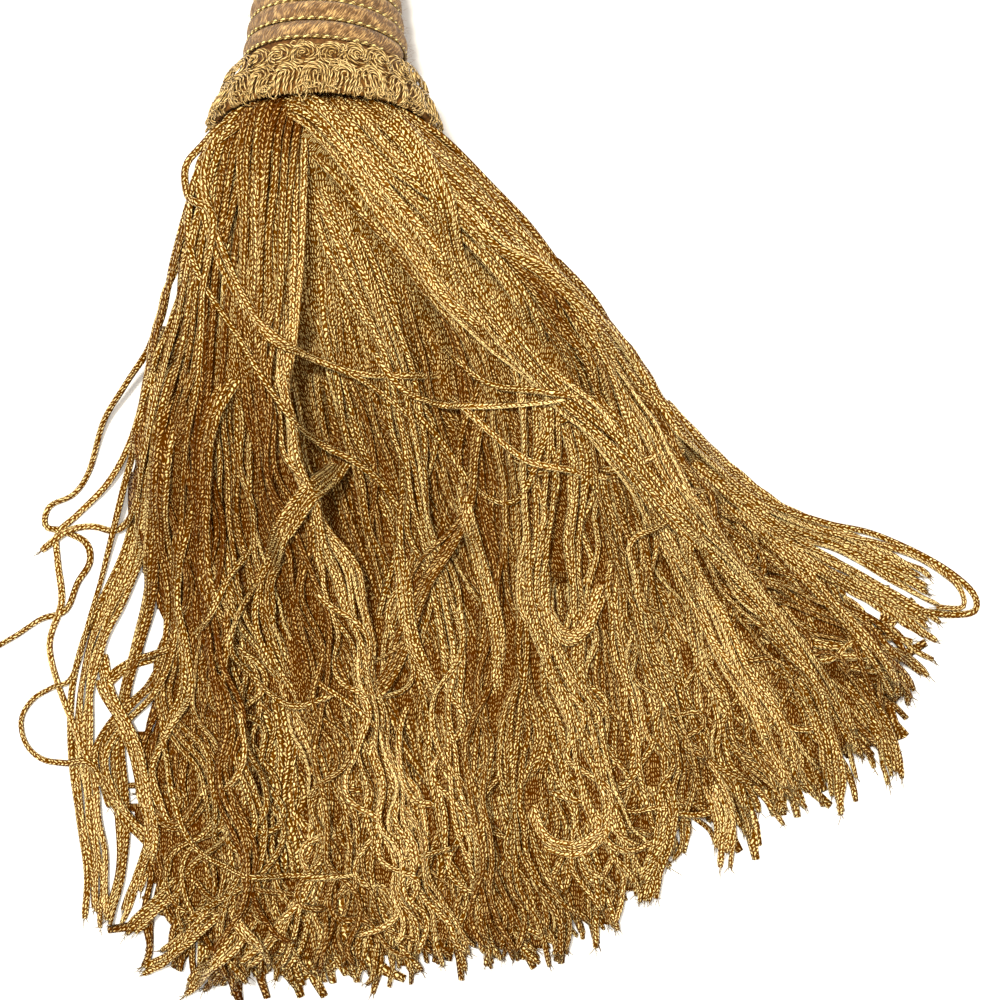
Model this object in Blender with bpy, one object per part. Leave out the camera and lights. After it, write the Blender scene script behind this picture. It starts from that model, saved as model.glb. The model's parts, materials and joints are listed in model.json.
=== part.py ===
"""Curtain tieback tassel lying on its side: a wound head, a scrolled ruff and a fringe skirt.

Metres, +Z up, and z = 0 is the surface that the tassel lies on. The origin is on that surface, on the
small flat under the ruff's rim. The head lies towards +Y and dips until its far end touches the surface,
and the skirt spreads towards -Y. "Along" is a distance from the rim plane up the head's axis, and
"reach" is a distance from the rim down the skirt.
"""
import math
import random

import bmesh
import bpy
import numpy as np
from mathutils import Vector

GAP = 0.0003  # between pieces that would touch

# Ruff: a flaring band with two staggered rows of scrolls raised on it.
RUFF_LENGTH = 0.0140
RUFF_RIM_R = 0.0266
RUFF_TOP_R = 0.0208
RUFF_BORE_R = 0.0186
RUFF_BORE_STRAIGHT = 0.0050
RUFF_MOUTH_R = 0.0246
SCROLLS_ROUND = 24
SCROLL_RISE = 0.0018
SCROLL_ROWS = (  # centre and half height along the axis, turn in scrolls
    {"centre": 0.0035, "half": 0.0038, "turn": 0.0},
    {"centre": 0.0103, "half": 0.0037, "turn": 0.5},
)
RUFF_STATIONS = (0.0, 0.0016, 0.0035, 0.0054, 0.0070, 0.0086, 0.0103, 0.0121, 0.0140)
FLAT_DEPTH = 0.0012  # pressed flat under the rim, where the tassel rests
FLAT_CENTRE = 0.0034  # of that flat, from the rim's plane, measured level

# Head: a bell wound with one thick roving, and a thin cord laid in the groove between its turns.
HEAD_LENGTH = 0.0660
HEAD_BASE_R = 0.0192  # to the bottom of the groove, just above the ruff
HEAD_FAR_R = 0.0128
HEAD_TAPER = 0.0300
SHOULDER_LENGTH = 0.0070
HEAD_TOP_FLAT_R = 0.0070
WIND_PITCH = 0.0050
WIND_STEPS = 20
ROVING_SECTION = ((0.0, 0.0), (0.28, 1.0), (0.70, 1.0))  # share of the pitch, share of the rise
ROVING_RISE = 0.0013
CORD_RISE = 0.0009  # of the cord's centre above the groove
CORD_R = 0.00045
STUB_END = 0.0066

# Skirt: locks of fringe, fused at their roots into a backing inside the ruff.
BACKING_FACE = -0.0016
ROOT_SINK = 0.0004  # along the axis, inside the backing
ROOT_R = 0.0220
ROW_PITCH = 0.0031
LOCK_PITCH = 0.0047
LOCK_WIDTH = {"root": 0.0029, "neck": 0.0036, "spread": 0.0068, "tip": 0.0050}
LOCK_HEIGHT = {"root": 0.0019, "neck": 0.0019, "spread": 0.0015, "tip": 0.0012}
LOCK_SHARES = (0.025, 0.06, 0.11, 0.18, 0.27, 0.37, 0.48, 0.59, 0.70, 0.80, 0.90, 1.0)
LOCK_RAGGED = 0.007  # lengths differ by this much either way
SWAY = 4.0  # degrees that a lock's heading wanders
FALL_LENGTH = 0.040  # a root on the surface settles over this reach
FALL_PER_HEIGHT = 2.2  # and this much more for each unit of height
HEADING_SHARES = (0.0, 0.08, 0.25, 0.5, 0.75, 1.0)
FLOW = (  # place across the skirt, length, headings in degrees at HEADING_SHARES: 0 is -Y, + is to +X
    {"across": 0.00, "length": 0.199, "headings": (-38, -26, -15, -15, -9, 6)},
    {"across": 0.15, "length": 0.206, "headings": (-14, -10, -7, -6, -5, -1)},
    {"across": 0.29, "length": 0.205, "headings": (-6, -3, 0, 2, 2, 1)},
    {"across": 0.43, "length": 0.204, "headings": (2, 5, 9, 10, 9, 6)},
    {"across": 0.56, "length": 0.206, "headings": (14, 19, 22, 20, 14, 9)},
    {"across": 0.69, "length": 0.199, "headings": (34, 38, 34, 27, 20, 14)},
    {"across": 0.81, "length": 0.193, "headings": (48, 47, 41, 32, 32, 29)},
    {"across": 1.00, "length": 0.182, "headings": (64, 55, 41, 31, 68, 54)},
)
FAN_BY_ROW = 0.35  # how far each row of locks opens to the skirt's full width, not as wide as its own chord
TOP_LEAN = 0.15  # the topmost locks are swept this share of the way to the +X edge

# Stray strands that left the skirt on its -X side, as places on the surface in millimetres.
STRAND_R = 0.0009
STRAY_STEP = 0.0034
STRAYS = (
    {"name": "outer", "x": (-30, -37, -42, -51, -57, -61, -65, -71, -72, -68, -62, -61, -64, -67, -73, -79, -86),
     "y": (-6, -26, -44, -57, -66, -78, -84, -87, -92, -93, -96, -101, -106, -113, -115, -119, -123)},
    {"name": "inner", "x": (-27, -36, -45, -50, -56, -64, -69, -69, -68, -71, -69, -65, -60),
     "y": (-8, -30, -57, -71, -81, -89, -94, -101, -111, -121, -131, -141, -152)},
    {"name": "short", "x": (-25, -33, -40, -45, -49, -54, -60, -66, -73),
     "y": (-12, -38, -62, -78, -88, -93, -92, -93, -98)},
    {"name": "loop", "x": (-24, -37, -50, -60, -65, -70, -75, -78, -77, -73, -67, -60, -56),
     "y": (-10, -44, -78, -112, -129, -132, -135, -140, -146, -150, -151, -151, -162)},
)

# Height map of the pile, on which each lock is laid in turn.
CELL = 0.001
MAP_LOW = (-0.095, -0.235)
MAP_HIGH = (0.180, 0.010)
LAY_GAP = 0.00035
LAY_MARGIN = 0.0006
LAY_ROUNDS = 60
RIDE_LIMIT = 0.007  # a lock that would ride up further than this above its own root isn't laid

# Materials: colour, roughness and metallic value.
GOLD_RAYON = {"colour": (0.40, 0.22, 0.055, 1.0), "roughness": 0.38, "metallic": 0.0}
TAN_ROVING = {"colour": (0.42, 0.25, 0.105, 1.0), "roughness": 0.85, "metallic": 0.0}


def clear_scene():
    """Removes whatever the file opened with."""
    for thing in list(bpy.data.objects):
        bpy.data.objects.remove(thing)


def finish_of(name, look):
    """A Principled material with the piece's own colour."""
    material = bpy.data.materials.new(name)
    material.use_nodes = True
    shader = material.node_tree.nodes["Principled BSDF"]
    shader.inputs["Base Color"].default_value = look["colour"]
    shader.inputs["Roughness"].default_value = look["roughness"]
    shader.inputs["Metallic"].default_value = look["metallic"]
    return material


def add_object(name, bm, look):
    """Turns a bmesh into a named object with its material, shaded smooth."""
    bmesh.ops.recalc_face_normals(bm, faces=bm.faces)
    mesh = bpy.data.meshes.new(name)
    bm.to_mesh(mesh)
    bm.free()
    mesh.shade_smooth()
    mesh.set_sharp_from_angle(angle=math.radians(50))
    mesh.materials.append(finish_of(name, look))
    thing = bpy.data.objects.new(name, mesh)
    bpy.context.scene.collection.objects.link(thing)
    return thing


# ---------------------------------------------------------------- the head's axis

SHOULDER_START = HEAD_LENGTH - SHOULDER_LENGTH


def groove_radius(along):
    """Radius at the bottom of the winding's groove, before the shoulder."""
    return HEAD_FAR_R + (HEAD_BASE_R - HEAD_FAR_R) * math.exp(-(along - RUFF_LENGTH) / HEAD_TAPER)


def ruff_radius(along, turn):
    """Outer radius of the ruff, with its scrolls as rounded lumps."""
    radius = RUFF_RIM_R + (RUFF_TOP_R - RUFF_RIM_R) * along / RUFF_LENGTH
    for row in SCROLL_ROWS:
        share = 1 - ((along - row["centre"]) / row["half"]) ** 2
        if share > 0:
            round_it = abs(math.cos(turn * SCROLLS_ROUND / 2 + math.pi * row["turn"]))
            radius += SCROLL_RISE * math.sqrt(share) * round_it
    return radius


def resting():
    """How far the rim's centre is from the surface, square to the axis, and the dip of the head."""
    dip = 0.0
    for _ in range(30):
        lift = max(ruff_radius(a, -math.pi / 2) + a * math.tan(dip) for a in RUFF_STATIONS) - FLAT_DEPTH
        far = groove_radius(SHOULDER_START) + CORD_RISE + CORD_R + GAP
        dip = math.atan2(lift - far, SHOULDER_START)
    return lift, dip


LIFT, DIP = resting()
AXIS = Vector((0, math.cos(DIP), -math.sin(DIP)))
RISE = Vector((0, math.sin(DIP), math.cos(DIP)))
SIDE = Vector((1, 0, 0))
RIM_CENTRE = RISE * LIFT - Vector((0, FLAT_CENTRE, 0))


def on_axis(along, radius, turn):
    """The point at a distance along the head's axis, a radius and an angle round it."""
    return RIM_CENTRE + AXIS * along + (SIDE * math.cos(turn) + RISE * math.sin(turn)) * radius


def ring(bm, along, radius, steps):
    """A closed ring of vertices round the axis."""
    return [bm.verts.new(on_axis(along, radius, math.tau * i / steps)) for i in range(steps)]


def band(bm, low, high):
    """Joins two closed rings with a band of quads."""
    for i in range(len(low)):
        after = (i + 1) % len(low)
        bm.faces.new((low[i], low[after], high[after], high[i]))


# ---------------------------------------------------------------- ruff

def make_ruff():
    """A ring whose bore flares at the mouth, where the skirt comes out, with a flat where it rests."""
    steps = SCROLLS_ROUND * 2
    bm = bmesh.new()
    rings = []
    for along in RUFF_STATIONS:
        turns = [math.tau * i / steps for i in range(steps)]
        rings.append([bm.verts.new(on_axis(along, ruff_radius(along, t), t)) for t in turns])
    rings.append(ring(bm, RUFF_LENGTH, RUFF_BORE_R + GAP, steps))
    rings.append(ring(bm, RUFF_BORE_STRAIGHT, RUFF_BORE_R + GAP, steps))
    rings.append(ring(bm, 0.0, RUFF_MOUTH_R + GAP, steps))
    for low, high in zip(rings, rings[1:] + rings[:1]):
        band(bm, low, high)
    cut = bmesh.ops.bisect_plane(
        bm, geom=bm.verts[:] + bm.edges[:] + bm.faces[:], dist=1e-7,
        plane_co=(0, 0, 0), plane_no=(0, 0, -1), clear_outer=True)
    rim = [e for e in cut["geom_cut"] if isinstance(e, bmesh.types.BMEdge)]
    bmesh.ops.holes_fill(bm, edges=rim, sides=0)
    bmesh.ops.triangulate(bm, faces=bm.faces)
    return add_object("ruff", bm, GOLD_RAYON)


# ---------------------------------------------------------------- head

def head_profile():
    """Groove line of the head from the ruff to the top flat: (distance along it, along, radius) arrays."""
    cone = np.linspace(RUFF_LENGTH, SHOULDER_START, 60)
    points = [(a, groove_radius(a)) for a in cone]
    wide = groove_radius(SHOULDER_START)
    for angle in np.linspace(0, math.pi / 2, 24)[1:]:
        reach = HEAD_TOP_FLAT_R + (wide - HEAD_TOP_FLAT_R) * math.cos(angle)
        points.append((SHOULDER_START + SHOULDER_LENGTH * math.sin(angle), reach))
    points = np.array(points)
    steps = np.hypot(*np.diff(points, axis=0).T)
    return np.concatenate([[0], np.cumsum(steps)]), points[:, 0], points[:, 1]


PROFILE = head_profile()
TURNS = int((PROFILE[0][-1] - 0.0004) / WIND_PITCH) - 1
WIND_START = 0.0005


def wound_point(distance, rise, turn):
    """A point of the winding: a distance along the groove line, raised square to it."""
    here, reach = (np.interp(distance, PROFILE[0], PROFILE[k]) for k in (1, 2))
    small = 0.0005
    ahead, ahead_reach = (np.interp(distance + small, PROFILE[0], PROFILE[k]) for k in (1, 2))
    behind, behind_reach = (np.interp(distance - small, PROFILE[0], PROFILE[k]) for k in (1, 2))
    run, lift = ahead - behind, ahead_reach - behind_reach
    size = math.hypot(run, lift)
    return on_axis(here - rise * lift / size, reach + rise * run / size, turn)


def make_head():
    """One wound solid: the roving's turns are a ridge that climbs the bell as a helix."""
    bm = bmesh.new()
    last = TURNS * WIND_STEPS
    columns = len(ROVING_SECTION)
    grid = {}
    for t in range(last + WIND_STEPS + 1):
        for j, (share, rise) in enumerate(ROVING_SECTION):
            if t > last and j > 0:
                continue
            distance = WIND_START + WIND_PITCH * (t / WIND_STEPS + share)
            place = wound_point(distance, ROVING_RISE * rise, math.tau * t / WIND_STEPS)
            grid[t, j] = bm.verts.new(place)
    for t in range(last + 1):
        grid[t, columns] = grid[t + WIND_STEPS, 0]
    for t in range(last):
        for j in range(columns):
            bm.faces.new((grid[t, j], grid[t + 1, j], grid[t + 1, j + 1], grid[t, j + 1]))
    foot = ring(bm, RUFF_LENGTH + GAP, HEAD_BASE_R, WIND_STEPS)
    for i in range(WIND_STEPS - 1):
        bm.faces.new((foot[i], foot[i + 1], grid[i + 1, 0], grid[i, 0]))
    start_step = [grid[0, j] for j in range(columns + 1)]
    bm.faces.new([foot[-1], foot[0], *start_step, grid[WIND_STEPS - 1, 0]])
    top = ring(bm, HEAD_LENGTH, HEAD_TOP_FLAT_R, WIND_STEPS)
    for i in range(1, WIND_STEPS):
        after = top[(i + 1) % WIND_STEPS]
        bm.faces.new((grid[last + i, 0], grid[last + i + 1, 0], after, top[i]))
    end_step = [grid[last, j] for j in range(columns, -1, -1)]
    bm.faces.new([top[1], top[0], *end_step, grid[last + 1, 0]])
    bm.faces.new(top)
    step_in = ring(bm, RUFF_LENGTH + GAP, RUFF_BORE_R, WIND_STEPS)
    stub = ring(bm, STUB_END, RUFF_BORE_R, WIND_STEPS)
    band(bm, step_in, foot)
    band(bm, stub, step_in)
    bm.faces.new(stub)
    bmesh.ops.triangulate(bm, faces=bm.faces)
    return add_object("head_winding", bm, TAN_ROVING)


def make_head_cord():
    """The thin cord, a helix of four sides in the groove."""
    bm = bmesh.new()
    rings = []
    for t in range(2, TURNS * WIND_STEPS - 1):
        distance = WIND_START + WIND_PITCH * t / WIND_STEPS
        turn = math.tau * t / WIND_STEPS
        square = []
        for corner in range(4):
            angle = math.pi / 2 * corner
            shift = distance + CORD_R * math.cos(angle)
            square.append(bm.verts.new(wound_point(shift, CORD_RISE + CORD_R * math.sin(angle), turn)))
        rings.append(square)
    for low, high in zip(rings, rings[1:]):
        band(bm, low, high)
    bm.faces.new(rings[0])
    bm.faces.new(rings[-1])
    bmesh.ops.triangulate(bm, faces=bm.faces)
    return add_object("head_cord", bm, GOLD_RAYON)


# ---------------------------------------------------------------- skirt

class Pile:
    """A height map of what has been laid so far, on which the next lock is laid without touching."""

    def __init__(self):
        self.across = np.arange(MAP_LOW[0], MAP_HIGH[0], CELL) + CELL / 2
        self.down = np.arange(MAP_LOW[1], MAP_HIGH[1], CELL) + CELL / 2
        self.height = np.full((len(self.across), len(self.down)), -LAY_GAP)

    def cells(self, a, b, wide_a, wide_b):
        """Cells under one straight stretch: their indices, share along it and share of half its width."""
        reach = max(wide_a, wide_b) / 2 + LAY_MARGIN
        low, high = np.minimum(a, b) - reach, np.maximum(a, b) + reach
        i0, i1 = np.searchsorted(self.across, (low[0], high[0]))
        j0, j1 = np.searchsorted(self.down, (low[1], high[1]))
        gx, gy = np.meshgrid(self.across[i0:i1], self.down[j0:j1], indexing="ij")
        way = b - a
        size = np.hypot(*way)
        share = ((gx - a[0]) * way[0] + (gy - a[1]) * way[1]) / size**2
        off = np.abs((gx - a[0]) * way[1] - (gy - a[1]) * way[0]) / size
        slack = reach * 0.4 / size
        held = np.clip(share, 0, 1)
        half = (wide_a + (wide_b - wide_a) * held) / 2
        inside = (share > -slack) & (share < 1 + slack) & (off < half + LAY_MARGIN)
        ii, jj = np.nonzero(inside)
        return ii + i0, jj + j0, held[ii, jj], off[ii, jj] / half[ii, jj]

    def rise(self, stretches, base, held):
        """Raises the base line, but for its first held points, until it clears the pile."""
        for _ in range(LAY_ROUNDS):
            moved = False
            for i, (ii, jj, share, _) in enumerate(stretches):
                if len(ii) == 0 or i < held:
                    continue
                short = self.height[ii, jj] + LAY_GAP - (base[i] * (1 - share) + base[i + 1] * share)
                worst = int(np.argmax(short))
                need, s = short[worst], share[worst]
                if need > 1e-5:
                    lift = need / ((1 - s) ** 2 + s * s)
                    base[i] += lift * (1 - s)
                    base[i + 1] += lift * s
                    moved = True
            if not moved:
                break

    def add(self, stretches, base, heights):
        """Adds one lock to the pile."""
        for i, (ii, jj, share, side) in enumerate(stretches):
            top = base[i] * (1 - share) + base[i + 1] * share
            tall = heights[i] * (1 - share) + heights[i + 1] * share
            top = top + tall * np.clip(1.2 - side, 0, 1)
            self.height[ii, jj] = np.maximum(self.height[ii, jj], top)


def flow_at(across):
    """Length and headings of the skirt at a place across it, between the rows of the table."""
    places = [row["across"] for row in FLOW]
    length = np.interp(across, places, [row["length"] for row in FLOW])
    headings = [np.interp(across, places, [row["headings"][k] for row in FLOW])
                for k in range(len(HEADING_SHARES))]
    return length, headings


def sized(sizes, share):
    """A lock's width or height at a share of its length."""
    places = (sizes["root"], sizes["neck"], sizes["spread"], sizes["spread"], sizes["tip"])
    return np.interp(share, (0, 0.12, 0.4, 0.85, 1), places)


def lock_mesh(bm, points, sideways, widths, heights):
    """Skins one lock: three sides, flat below and ridged above, closed at both ends."""
    rings = []
    for point, side, width, height in zip(points, sideways, widths, heights):
        half = side * (width / 2)
        rings.append([bm.verts.new(point - half), bm.verts.new(point + half),
                      bm.verts.new(point + Vector((0, 0, height)))])
    for low, high in zip(rings, rings[1:]):
        band(bm, low, high)
    bm.faces.new(rings[0])
    bm.faces.new(rings[-1])


def place_lock(bm, pile, root, plan, widths, heights, ride_limit):
    """Lays one lock from its root in the backing over the pile, and skins it."""
    lead = root - AXIS * 0.0035
    plan = np.vstack([[root.x, root.y], [lead.x, lead.y], plan])
    reach = np.concatenate([[0], np.cumsum(np.hypot(*np.diff(plan, axis=0).T))])
    fall = FALL_LENGTH + FALL_PER_HEIGHT * lead.z
    share = np.clip((reach - reach[1]) / fall, 0, 1)
    base = lead.z * (1 - share) ** 2 * (1 + 2 * share)
    base[0] = root.z
    stretches = [pile.cells(plan[i], plan[i + 1], widths[i], widths[i + 1]) for i in range(len(plan) - 1)]
    pile.rise(stretches, base, 2)
    if base.max() > lead.z + ride_limit:
        return
    pile.add(stretches, base, heights)
    points = [Vector((x, y, z)) for (x, y), z in zip(plan, base)]
    sideways = []
    for i in range(len(plan)):
        way = plan[min(i + 1, len(plan) - 1)] - plan[max(i - 1, 0)]
        sideways.append(Vector((way[1], -way[0], 0)).normalized())
    sideways[0] = sideways[1] = -SIDE
    lock_mesh(bm, points, sideways, widths, heights)


def skirt_lock(bm, pile, chance, root, across):
    """One lock of the fan, following the flow at its place across the skirt."""
    length, headings = flow_at(across)
    length += chance.uniform(-LOCK_RAGGED, LOCK_RAGGED)
    phase = chance.uniform(0, math.tau)
    plan = []
    place = np.array((root.x, root.y)) - np.array((AXIS.x, AXIS.y)) * 0.0035
    for before, after in zip((0, *LOCK_SHARES), LOCK_SHARES):
        share = (before + after) / 2
        sway = SWAY * math.sin(math.tau * 1.5 * share + phase)
        heading = math.radians(np.interp(share, HEADING_SHARES, headings) + sway)
        place = place + np.array((math.sin(heading), -math.cos(heading))) * length * (after - before)
        plan.append(place)
    shares = np.array([0, 0.01, *LOCK_SHARES])
    place_lock(bm, pile, root, np.array(plan), sized(LOCK_WIDTH, shares), sized(LOCK_HEIGHT, shares), RIDE_LIMIT)


def smooth_route(x, y, step):
    """Points a step apart on a smooth curve through a table's places, given in millimetres."""
    places = np.column_stack([x, y]) / 1000
    padded = np.vstack([2 * places[0] - places[1], places, 2 * places[-1] - places[-2]])
    fine = []
    for k in range(len(places) - 1):
        p0, p1, p2, p3 = padded[k:k + 4]
        for t in np.linspace(0, 1, 12, endpoint=False):
            fine.append(0.5 * (2 * p1 + (p2 - p0) * t + (2 * p0 - 5 * p1 + 4 * p2 - p3) * t**2
                               + (3 * p1 - p0 - 3 * p2 + p3) * t**3))
    fine = np.array(fine + [places[-1]])
    reach = np.concatenate([[0], np.cumsum(np.hypot(*np.diff(fine, axis=0).T))])
    wanted = np.linspace(0, reach[-1], max(2, round(reach[-1] / step)))
    return np.column_stack([np.interp(wanted, reach, fine[:, k]) for k in (0, 1)])


def make_skirt():
    """The backing, with every lock and stray strand fused to it at the root."""
    chance = random.Random(11)
    pile = Pile()
    bm = bmesh.new()
    rows = int(2 * ROOT_R / ROW_PITCH)
    for j in range(rows):
        level = (j + 0.5 - rows / 2) * ROW_PITCH
        chord = math.sqrt(ROOT_R**2 - level**2)
        count = max(2, int(2 * chord / LOCK_PITCH))
        order = list(range(count))
        chance.shuffle(order)
        for k in order:
            sideways = (2 * (k + 0.5) / count - 1) * chord
            root = RIM_CENTRE + SIDE * sideways + RISE * level + AXIS * ROOT_SINK
            spread = FAN_BY_ROW * sideways / chord + (1 - FAN_BY_ROW) * sideways / ROOT_R
            across = min(max(0.5 + 0.53 * spread + chance.uniform(-0.03, 0.03), 0), 1)
            across += (1 - across) * TOP_LEAN * max(level / ROOT_R, 0)
            skirt_lock(bm, pile, chance, root, across)
    for n, stray in enumerate(STRAYS):
        route = smooth_route(stray["x"], stray["y"], STRAY_STEP)
        root = RIM_CENTRE - SIDE * (ROOT_R + 0.0007) + RISE * (0.0026 * (n - 1.5)) + AXIS * ROOT_SINK
        thin = np.full(len(route) + 2, 2 * STRAND_R)
        place_lock(bm, pile, root, route, thin, thin, 3 * RIDE_LIMIT)
    locks = add_object("locks", bm, GOLD_RAYON)
    locks.hide_render = True
    locks.display_type = "WIRE"

    bm = bmesh.new()
    steps = 40
    rings = [ring(bm, STUB_END - GAP, RUFF_BORE_R, steps), ring(bm, RUFF_BORE_STRAIGHT, RUFF_BORE_R, steps),
             ring(bm, 0.0, RUFF_MOUTH_R, steps), ring(bm, BACKING_FACE, RUFF_MOUTH_R, steps)]
    for low, high in zip(rings, rings[1:]):
        band(bm, low, high)
    bm.faces.new(rings[0])
    bm.faces.new(rings[-1])
    skirt = add_object("skirt", bm, GOLD_RAYON)
    fuse = skirt.modifiers.new("fuse the roots", "BOOLEAN")
    fuse.operation = "UNION"
    fuse.object = locks
    fuse.solver = "EXACT"
    return skirt


def main():
    clear_scene()
    make_ruff()
    make_head()
    make_head_cord()
    make_skirt()


main()
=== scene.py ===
import json
import math

import bmesh
import bpy
import numpy as np
from bpy.props import FloatProperty, FloatVectorProperty, IntProperty, PointerProperty
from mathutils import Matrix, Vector


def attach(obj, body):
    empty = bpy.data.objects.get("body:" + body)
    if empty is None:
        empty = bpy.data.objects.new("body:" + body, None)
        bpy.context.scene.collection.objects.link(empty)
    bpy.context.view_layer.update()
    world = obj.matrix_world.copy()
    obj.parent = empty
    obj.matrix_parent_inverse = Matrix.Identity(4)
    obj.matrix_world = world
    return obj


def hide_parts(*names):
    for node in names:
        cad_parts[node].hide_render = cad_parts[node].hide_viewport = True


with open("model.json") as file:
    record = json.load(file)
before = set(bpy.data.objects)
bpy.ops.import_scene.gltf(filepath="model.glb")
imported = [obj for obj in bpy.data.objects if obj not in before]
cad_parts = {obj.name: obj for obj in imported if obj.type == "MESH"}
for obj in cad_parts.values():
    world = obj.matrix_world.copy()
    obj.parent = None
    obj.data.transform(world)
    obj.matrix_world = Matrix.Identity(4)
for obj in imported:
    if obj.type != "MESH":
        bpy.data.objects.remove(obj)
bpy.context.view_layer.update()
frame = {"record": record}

bl_info = {
    "name": "Curtain tieback tassel",
    "version": (1, 0, 0),
    "blender": (4, 5, 0),
    "location": "View3D > Sidebar > Tassel",
    "description": "Makes the wound head, scrolled ruff and chain-knit fringe of a curtain tieback tassel",
    "category": "Object",
}

MM = 0.001

# ---------------------------------------------------------------- the tassel's own axis

HEAD_LENGTH = 0.0660
RUFF_LENGTH = 0.0140
TOP_MOUNT = next(m for m in frame["record"]["mounts"] if m["name"] == "head_top")
AXIS = np.array(TOP_MOUNT["axis"])
SIDE = np.array((1.0, 0.0, 0.0))
RISE = np.cross(SIDE, AXIS)
RIM_CENTRE = np.array(TOP_MOUNT["pos_m"]) - AXIS * HEAD_LENGTH


def on_axis(along, radius, turn):
    """Points at a distance up the head's axis from the rim, a radius and an angle; any of them an array."""
    along, radius, turn = np.broadcast_arrays(along, radius, turn)
    return RIM_CENTRE + along[..., None] * AXIS + radius[..., None] * outward(turn)


def outward(turn):
    """Unit vectors square to the head's axis, at angles round it."""
    return np.cos(turn)[..., None] * SIDE + np.sin(turn)[..., None] * RISE


# ---------------------------------------------------------------- lines in space and in plan

def unit(vectors):
    """The same ways, each one unit long."""
    return vectors / (np.linalg.norm(vectors, axis=-1, keepdims=True) + 1e-9)


def run_along(line):
    """The distance along a line to each of its points."""
    return np.concatenate([[0], np.cumsum(np.linalg.norm(np.diff(line, axis=0), axis=1))])


def resample(line, step):
    """The same line with points a step apart."""
    run = run_along(line)
    wanted = np.linspace(0, run[-1], max(3, round(run[-1] / step)))
    return np.column_stack([np.interp(wanted, run, line[:, k]) for k in range(line.shape[1])])


WAVES = {  # each wave's length as a share of the line, and its size at the start and at the end
    "thread": ((0.5, 0.00013, 0.00013), (0.2, 0.000078, 0.000078)),
    "ribbon": ((0.55, 1.0, 9.0), (0.24, 0.6, 14.0), (0.11, 0.1, 13.0)),
    "ribbon's twist": ((0.8, 0.4, 1.3), (0.35, 0.2, 1.0)),
    "strand": ((0.35, 2.5, 4.0), (0.1, 1.5, 8.0), (0.055, 0.5, 7.0)),
    "wild strand": ((0.3, 2.0, 24.0), (0.12, 1.0, 42.0)),
    "strand's turn": ((0.8, 0.5, 0.9), (0.3, 0.3, 0.6)),
    "stray": ((1.2, 40.0, 40.0), (0.5, 14.0, 14.0)),
    "lock": ((0.35, 1.0, 3.0), (0.12, 2.0, 7.0)),
    "lock's twist": ((0.9, 0.5, 0.8),),
}


def wander(chance, share, waves, restless=1.0):
    """Smooth noise along a line: a sum of sines of the given waves."""
    total = np.zeros_like(share)
    for length, start, end in waves:
        size = start + (end * restless - start) * share**1.5
        length *= chance.uniform(0.75, 1.3)
        total += size * chance.normal() * np.sin(math.tau * (share / length + chance.uniform()))
    return total


# ---------------------------------------------------------------- meshes made of many thin tubes

REST = 0.00003  # nothing lies lower than this, just clear of the surface


def show(name, node, material, points, faces, run, tone, tone_and_painted_light):
    """Makes a smooth piece that stands for a node, with a UV map and the two tones that its finish reads."""
    mesh = bpy.data.meshes.new(name)
    mesh.from_pydata(points, [], faces)
    mesh.uv_layers.new(name="run").uv.foreach_set("vector", run.astype("f").ravel())
    for kind, values in (("tone", tone), ("tone_and_painted_light", tone_and_painted_light)):
        mesh.attributes.new(kind, "FLOAT", "POINT").data.foreach_set("value", values.astype("f"))
    link(mesh, name, node, material)


def link(mesh, name, node, material):
    """Links a mesh as a piece under the root body, in place of a node whose imported part it hides."""
    mesh.shade_smooth()
    mesh.materials.append(material)
    piece = bpy.data.objects.new(name, mesh)
    bpy.context.scene.collection.objects.link(piece)
    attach(piece, "root")
    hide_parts(node)


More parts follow.
